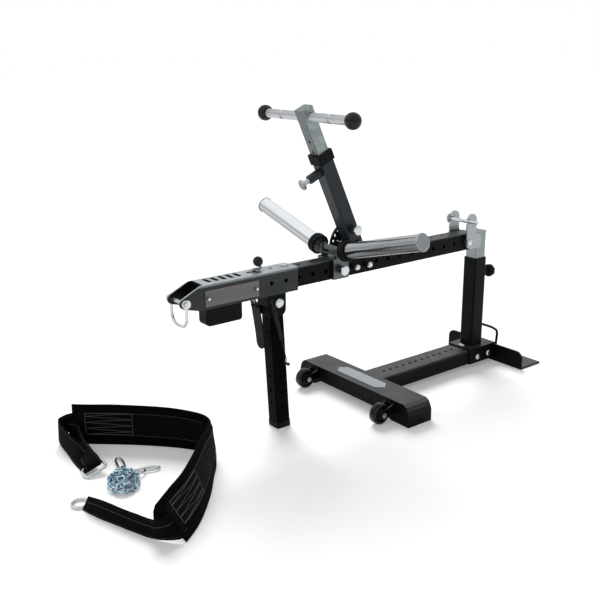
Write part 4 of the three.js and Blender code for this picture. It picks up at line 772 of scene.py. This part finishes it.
STRAP_LEFT = [
    ((-251, -1208, 40), (-251, -1208, 92)), ((-281, -1238, 32), (-281, -1238, 88)),
    ((-297, -1261, 19), (-297, -1261, 78)), ((-286, -1279, 7), (-286, -1275, 72)),
    ((-210, -1286, 0.6), (-212, -1274, 56)), ((-150, -1294, 0.6), (-150, -1266, 44)),
    ((-104, -1297, 0.6), (-104, -1253, 18)), ((-80, -1297, 1), (-80, -1251, 15)),
    ((-63, -1297.5, 12), (-63, -1251.5, 26)), ((-79, -1298, 24), (-79, -1252, 38.5)),
    ((-110, -1290, 19), (-110, -1252, 42)), ((-170, -1262, 10), (-170, -1250, 54)),
    ((-226, -1238, 6), (-226, -1240, 66)), ((-240, -1236, 6), (-240, -1238, 71)),
    ((-257, -1246, 7), (-257, -1247, 71)), ((-270, -1254, 9), (-270, -1254, 68)),
]


class Strip:
    """A strip of cloth standing on its edge along a line of stations."""

    def __init__(self, stations, fine=240):
        self.low = spread_along([low for low, high in stations], fine)
        self.high = spread_along([high for low, high in stations], fine)
        self.fine = fine
        run = np.gradient(self.low + self.high, axis=0)
        self.rise = self.high - self.low
        self.out = np.cross(self.rise, run)
        self.out /= np.linalg.norm(self.out, axis=1)[:, None]

    def at(self, along, up, off):
        """The point in millimetres at a share along, a share up and a distance off the middle."""
        place_on = min(max(along, 0), 1) * self.fine
        i = min(int(place_on), self.fine - 1)
        f = place_on - i
        low, rise, out = (line[i] * (1 - f) + line[i + 1] * f for line in (self.low, self.rise, self.out))
        return low + rise * up + out * off

    def cloth(self, half, steps, rows, along=(0, 1), up=(0, 1), off=0.0, ripple=None):
        """A closed sheet between shares; half(up share) is its half thickness."""
        vertices = []
        ups = [between(*up, 0.5 - 0.5 * math.cos(math.pi * r / rows)) for r in range(rows + 1)]
        for i in range(steps + 1):
            share = between(*along, i / steps)
            ends = min(1, 0.35 + 8 * min(i, steps - i) / steps)  # the sheet thins out at its ends
            for side, order in ((1, ups), (-1, ups[::-1])):
                for u in order:
                    wave = ripple(share, u) if ripple else 0
                    vertices.append(place(*self.at(share, u, off + side * half(u) * ends + wave)))
        return vertices, round_faces(steps + 1, 2 * (rows + 1))

    def seam(self, points, off, radius=0.7, steps=40, ripple=None):
        """Thread laid on the strip through (share along, share up) points."""
        parts = []
        for (a0, u0), (a1, u1) in zip(points, points[1:]):
            line = []
            for i in range(steps + 1):
                a, u = between(a0, a1, i / steps), between(u0, u1, i / steps)
                wave = ripple(a, u) if ripple else 0
                line.append(place(*self.at(a, u, off + wave)))
            parts.append(tube_data(line, radius / 1000, sides=6))
        return together(parts)


def pad_half(up):
    """Half the band's thickness: bound edges, a soft field along each and a flat middle for the webbing."""
    bound, field, webbed = 0.07, 0.17, 0.24  # shares of the height, from either edge
    edge = min(up, 1 - up)
    binding = 2.6 + 1.2 * math.sin(min(edge / bound, 1) * math.pi) ** 2
    crown = 3.0 + 2.9 * math.sin(min(max((edge - bound) / field, 0), 1) * math.pi) ** 0.8
    middle = 4.6 if edge > webbed else 0
    return max(binding if edge < bound else crown, middle)


def creases(along, up):
    """Soft upright folds where the band bends, and fine waves all over."""
    bends = [(0.32, 0.07, 1), (0.56, 0.05, 0.8)]  # share of the length, reach and strength
    fold = sum(strength * math.exp(-((along - at) / reach) ** 2) for at, reach, strength in bends)
    middle = math.sin(math.pi * min(max(up, 0), 1)) ** 0.5
    fine = 0.25 * math.sin(along * 61 + 3 * up) + 0.2 * math.sin(along * 113 - 5 * up)
    coarse = 0.9 * math.sin(along * 170 + 1.5 * math.sin(6 * up)) + 0.4 * math.sin(along * 397)
    return middle * (fold * coarse + fine)


def flat(half):
    """The same half thickness at every height."""
    return lambda up: half


def zigzag(left, right, low, high, strokes):
    """A sewn box with a thread that runs to and fro inside it."""
    box = [(left, low), (right, low), (right, high), (left, high), (left, low)]
    inside = [(left if i % 2 else right, high - (high - low) * i / strokes) for i in range(strokes + 1)]
    return box, inside


def make_band():
    """The padded band with a webbing and its stitching on each side, and a corner folded over."""
    owner = BODY["belt_band"]
    band = Strip(BAND)
    padding = band.cloth(pad_half, 220, 30, ripple=creases)
    shape("belt_band_padded", padding, ("belt_band",), sharp=60)
    web_half, web_off, thread_off = 0.9, 5.3, 6.6
    webs = [
        band.cloth(flat(web_half), 160, 4, (0.035, 0.47), (0.235, 0.835), -web_off, creases),
        band.cloth(flat(web_half), 160, 4, (0.52, 0.985), (0.265, 0.855), web_off, creases),
    ]
    shape("belt_webbing", together(webs), (), owner, WEB, sharp=40)

    sewn = [  # distance off the middle, the box's ends and heights, and the run of the two long seams
        (-thread_off, (0.062, 0.215), (0.27, 0.805), (0.215, 0.46)),
        (thread_off, (0.958, 0.805), (0.3, 0.825), (0.805, 0.53)),
    ]
    box_thread, inside_thread, seam_thread = 0.7, 0.5, 0.28  # radii
    seams = []
    for off, ends, (low, high), (start, end) in sewn:
        box, inside = zigzag(*ends, low, high, strokes=7)
        seams.append(band.seam(box, off, box_thread, ripple=creases))
        seams.append(band.seam(inside, off, inside_thread, ripple=creases))
        for up in (low - 0.01, high + 0.005):
            seams.append(band.seam([(start, up), (end, up)], off, seam_thread, 90, creases))
    shape("belt_stitching", together(seams), (), owner, THREAD)

    corners = [(334, -1300, 98), (352, -1275, 50), (338, -1292, 48), (325, -1301, 52), (327, -1302, 78)]
    half_thick = 1.4
    vertices = [place(x, y + shift, z) for shift in (-half_thick, half_thick) for x, y, z in corners]
    rim = [(i, i + 5, (i + 1) % 5 + 5, (i + 1) % 5) for i in range(5)]
    faces = [(0, 1, 2, 3, 4), (9, 8, 7, 6, 5)] + rim
    cloth = MATERIALS["belt_fabric"]
    shape("belt_corner_fold", (vertices, faces), (), owner, cloth, sharp=60, bevel=0.0008)


def strap_half(up):
    """Half a strap's thickness, thinner at its two edges."""
    return 1.9 - 0.9 * (abs(2 * up - 1) ** 6)


def strap_wave(along, up):
    return 0.5 * math.sin(along * 23 + 2 * up) + 0.25 * math.sin(along * 61)


def make_straps():
    """The two straps; the right one waves a little and has a second fold along its upper half."""
    edge_thread, fold_thread = 0.2, 0.4  # radii
    edge_off, fold_off, fold_seam_off = 2.25, 3.4, 4.9
    for name, line, steps, ripple in (
        ("belt_strap_right", STRAP_RIGHT, 110, strap_wave), ("belt_strap_left", STRAP_LEFT, 260, None),
    ):
        strip = Strip(line)
        web = strip.cloth(strap_half, steps, 8, ripple=ripple)
        shape(name + "_web", web, (name,), material=WEB, sharp=55)
        seams = []
        for up in (0.1, 0.9):
            for off in (edge_off, -edge_off):
                seams.append(strip.seam([(0.02, up), (0.98, up)], off, edge_thread, 140, ripple))
        if ripple:
            fold = strip.cloth(flat(1.2), 90, 4, (0.12, 0.97), (0.62, 0.97), fold_off, ripple)
            seams.append(strip.seam([(0.12, 0.66), (0.97, 0.66)], fold_seam_off, fold_thread, 120, ripple))
            shape("belt_strap_fold", fold, (), BODY[name], WEB, sharp=55)
        shape(name + "_stitching", together(seams), (), BODY[name], THREAD)


def turned_points(points, tip_x, tip_y, centre):
    """Points turned about y, then about x, and moved."""
    out = []
    for x, y, z in points:
        x, z = x * math.cos(tip_y) + z * math.sin(tip_y), -x * math.sin(tip_y) + z * math.cos(tip_y)
        y, z = y * math.cos(tip_x) - z * math.sin(tip_x), y * math.sin(tip_x) + z * math.cos(tip_x)
        out.append((x + centre[0], y + centre[1], z + centre[2]))
    return out


def oval(half_wide, half_long, bend, steps=56):
    """A rounded rectangle of wire in its own plane."""
    line = []
    for i in range(steps):
        angle = 2 * math.pi * (i + 0.5) / steps
        x, y = bend * math.cos(angle), bend * math.sin(angle)
        line.append((x + math.copysign(half_wide - bend, x), y + math.copysign(half_long - bend, y), 0))
    return line


def even(line, gap):
    """The closed line with points added so that none are further apart than the gap."""
    out = []
    for a, b in zip(line, line[1:] + line[:1]):
        count = max(1, math.ceil(math.dist(a, b) / gap))
        out += [tuple(np.array(a) + (np.array(b) - np.array(a)) * k / count) for k in range(count)]
    return out


def wire_loop(points, wire, sides):
    """A closed loop of wire through points in millimetres."""
    return tube_data([place(*p) for p in points], wire / 1000, True, sides)


def make_rings():
    """The left strap's oblong ring, tipped onto its loop, and the right strap's round ring."""
    wire, clear = 3.9, 0.4
    line = even(oval(17, 30, 11), 3)
    points = turned_points(line, math.atan2(21, 68), math.atan2(9, 38), (-62, -1274, 13.5))
    lift = wire + clear - min(z for x, y, z in points)
    loop = wire_loop([(x, y, z + lift) for x, y, z in points], wire, 16)
    shape("belt_ring_left_smooth", loop, ("belt_ring_left",), sharp=60)
    x, y, radius = 66, -1370, 21
    line = [(x + radius * math.cos(a), y + radius * math.sin(a), wire + clear) for a in circle(64)]
    shape("belt_ring_right_smooth", wire_loop(line, wire, 16), ("belt_ring_right",), sharp=60)


# The heap of chain is oblong, with its long side towards the nose and the right
HEAP_XY = (40, -1239)
HEAP_STRETCH, HEAP_COS, HEAP_SIN = 1.4, 0.91, 0.41
FLOOR_CLEAR = 0.5


def heap_centres(pitch):
    """Link centres along the heap's loops: (radius, height, turns) from the outer one to the top."""
    loops = [(38, 9.5, 1.0), (21, 10.0, 0.95), (30, 19.5, 1.0), (14, 21, 0.9), (17, 29.5, 0.8)]
    centres, angle = [], 0.6
    for radius, height, turns in loops:
        length = math.pi * radius * (1 + HEAP_STRETCH) * turns
        count = max(3, int(length / pitch))
        for k in range(count):
            out, across = HEAP_STRETCH * radius * math.cos(angle), radius * math.sin(angle)
            x = HEAP_XY[0] + HEAP_COS * out + HEAP_SIN * across
            y = HEAP_XY[1] - HEAP_SIN * out + HEAP_COS * across
            centres.append((x, y, height))
            angle += turns * 2 * math.pi / count
    return centres


def chain_links():
    """Interlocking links, each one leaning the other way from the one before."""
    wire, half_wide, half_long = 2.7, 6.4, 11.6
    slack = 0.4
    centres = heap_centres(2 * (half_long - wire) + slack)
    link = even(oval(half_wide, half_long, half_wide, 18), 4)
    parts = []
    for k, centre in enumerate(centres):
        before, after = centres[max(k - 1, 0)], centres[min(k + 1, len(centres) - 1)]
        run = np.array(after) - np.array(before)
        run = run / np.linalg.norm(run)
        across = np.cross(run, (0, 0, 1))
        across /= np.linalg.norm(across)
        up = np.cross(across, run)
        tilt = math.radians(45 if k % 2 else -45) + 0.35 * math.sin(k * 2.3)
        wide = across * math.cos(tilt) + up * math.sin(tilt)
        points = [np.array(centre) + wide * x + run * y for x, y, z in link]
        parts.append(wire_loop([(x, y, max(z, wire + FLOOR_CLEAR)) for x, y, z in points], wire, 8))
    return parts


def snap_hook(start, end, half_wide, wire=3.1):
    """A spring hook: a pear of wire with a straight gate on one side."""
    start, end = np.array(start, float), np.array(end, float)
    run = end - start
    length = np.linalg.norm(run)
    run /= length
    across = np.cross((0, 0, 1), run)
    across /= np.linalg.norm(across)
    line = []
    for angle in circle(64):
        along = length / 2 * (1 - math.cos(angle))
        wide = half_wide * math.sin(angle) * (0.72 + 0.28 * along / length)
        x, y, z = start + run * along + across * wide
        line.append((x, y, max(z, wire + FLOOR_CLEAR)))
    gate = [place(*(start + run * length * f + across * half_wide * 0.82)) for f in (0.28, 0.78)]
    lug = [place(*(start + run * length * f)) for f in (0.2, 0.3)]
    return [
        wire_loop(line, wire, 12),
        tube_data(gate, 1.2 * wire / 1000, sides=12),
        tube_data(lug, 1.4 * wire / 1000, sides=10),
    ]


def make_chain():
    """The heap of links, its two snap hooks and the ring between them."""
    owner, metal = BODY["chain"], MATERIALS["fastener"]
    shape("chain_links", together(chain_links()), ("chain",), sharp=60)
    hooks = snap_hook((-14, -1212, 7), (-94, -1191, 6), 11) + snap_hook((2, -1180, 5), (24, -1125, 5.5), 10)
    shape("chain_hooks", together(hooks), (), owner, metal, sharp=50)
    ring = [(14 + 15 * math.cos(a), -1182 + 17 * math.sin(a), 8 + 3 * math.sin(a + 2)) for a in circle(48)]
    shape("chain_ring", wire_loop(ring, 3.1, 12), (), owner, metal)


dress_nodes()
make_wheels()
make_bar()
make_pins()
make_horns()
make_knob()
make_bolts()
make_trim()
make_rods()
make_band()
make_straps()
make_rings()
make_chain()


# Stage and light

FLOOR_SIZE, FLOOR_CENTRE = 60, (0, -0.9, 0)
FLOOR_TONE, FLOOR_LIFT = 0.9, 0.23  # the floor's grey and its own light, as the camera sees them
FLOOR_BOUNCE = 0.3  # the grey that lights the object from below
SKY = [(0, 0.6), (0.12, 0.66), (0.35, 0.85), (1, 1)]  # upward share and tone of the mirrored room
ROOM_LIGHT = 0.34
LAMP_DISTANCE = 4  # metres; it only marks where a sun's light comes from
WHITE = (1, 1, 1, 1)


def grey(tone):
    return (tone, tone, tone, 1)


def light_path(nodes, *outputs):
    """The largest of some light-path outputs, as one number."""
    path = nodes.new("ShaderNodeLightPath")
    value = path.outputs[outputs[0]]
    for name in outputs[1:]:
        larger = nodes.new("ShaderNodeMath")
        larger.operation = "MAXIMUM"
        nodes.id_data.links.new(value, larger.inputs[0])
        nodes.id_data.links.new(path.outputs[name], larger.inputs[1])
        value = larger.outputs[0]
    return value


def mixed(nodes, share, first, second):
    """A mix of two shaders by a share."""
    mix = nodes.new("ShaderNodeMixShader")
    nodes.id_data.links.new(share, mix.inputs["Fac"])
    nodes.id_data.links.new(first, mix.inputs[1])
    nodes.id_data.links.new(second, mix.inputs[2])
    return mix.outputs[0]


def make_floor():
    """Pale to the camera and in reflections; a darker grey for the light that it throws back."""
    bpy.ops.mesh.primitive_plane_add(size=FLOOR_SIZE, location=FLOOR_CENTRE)
    floor = bpy.context.object
    floor.name = "floor"
    material = bpy.data.materials.new("floor")
    material.use_nodes = True
    nodes, links = material.node_tree.nodes, material.node_tree.links
    nodes.clear()
    out = nodes.new("ShaderNodeOutputMaterial")
    pale, dark = nodes.new("ShaderNodeBsdfDiffuse"), nodes.new("ShaderNodeBsdfDiffuse")
    pale.inputs["Color"].default_value = grey(FLOOR_TONE)
    dark.inputs["Color"].default_value = grey(FLOOR_BOUNCE)
    lift = nodes.new("ShaderNodeEmission")
    lift.inputs["Strength"].default_value = FLOOR_LIFT
    seen = nodes.new("ShaderNodeAddShader")
    links.new(pale.outputs[0], seen.inputs[0])
    links.new(lift.outputs[0], seen.inputs[1])
    share = light_path(nodes, "Is Camera Ray", "Is Glossy Ray", "Is Transmission Ray")
    links.new(mixed(nodes, share, dark.outputs[0], seen.outputs[0]), out.inputs["Surface"])
    floor.data.materials.append(material)


def make_world():
    """White to the camera; a bright room to reflections; plain soft light to everything else."""
    world = bpy.data.worlds.new("studio")
    bpy.context.scene.world = world
    world.use_nodes = True
    nodes, links = world.node_tree.nodes, world.node_tree.links
    nodes.clear()
    out = nodes.new("ShaderNodeOutputWorld")
    direction = nodes.new("ShaderNodeTexCoord")
    split = nodes.new("ShaderNodeSeparateXYZ")
    links.new(direction.outputs["Generated"], split.inputs[0])
    ramp = nodes.new("ShaderNodeValToRGB")
    for index, (position, tone) in enumerate(SKY):
        stop = ramp.color_ramp.elements[index] if index < 2 else ramp.color_ramp.elements.new(position)
        stop.position = position
        stop.color = (tone * 0.97, tone * 0.99, tone, 1)
    links.new(split.outputs["Z"], ramp.inputs["Fac"])
    soft, room, white = (nodes.new("ShaderNodeBackground") for _ in range(3))
    soft.inputs["Strength"].default_value = ROOM_LIGHT
    soft.inputs["Color"].default_value = white.inputs["Color"].default_value = WHITE
    links.new(ramp.outputs["Color"], room.inputs["Color"])
    mirrored = light_path(nodes, "Is Glossy Ray", "Is Transmission Ray")
    lit = mixed(nodes, mirrored, soft.outputs[0], room.outputs[0])
    seen = mixed(nodes, light_path(nodes, "Is Camera Ray"), lit, white.outputs[0])
    links.new(seen, out.inputs["Surface"])


def sun(name, direction, strength, spread, mirrored=True):
    """A sun that shines from a direction, its spread in degrees; it can be left out of reflections."""
    data = bpy.data.lights.new(name, "SUN")
    data.energy = strength
    data.angle = math.radians(spread)
    light = bpy.data.objects.new(name, data)
    bpy.context.scene.collection.objects.link(light)
    light.location = Vector(direction) * LAMP_DISTANCE
    light.visible_glossy = mirrored
    light.rotation_euler = (-Vector(direction)).to_track_quat("-Z", "Y").to_euler()


make_floor()
make_world()
sun("key", (-0.64, 0.32, 0.7), strength=3.0, spread=34, mirrored=False)
sun("fill", (-0.2, -0.75, 0.63), strength=0.25, spread=60)
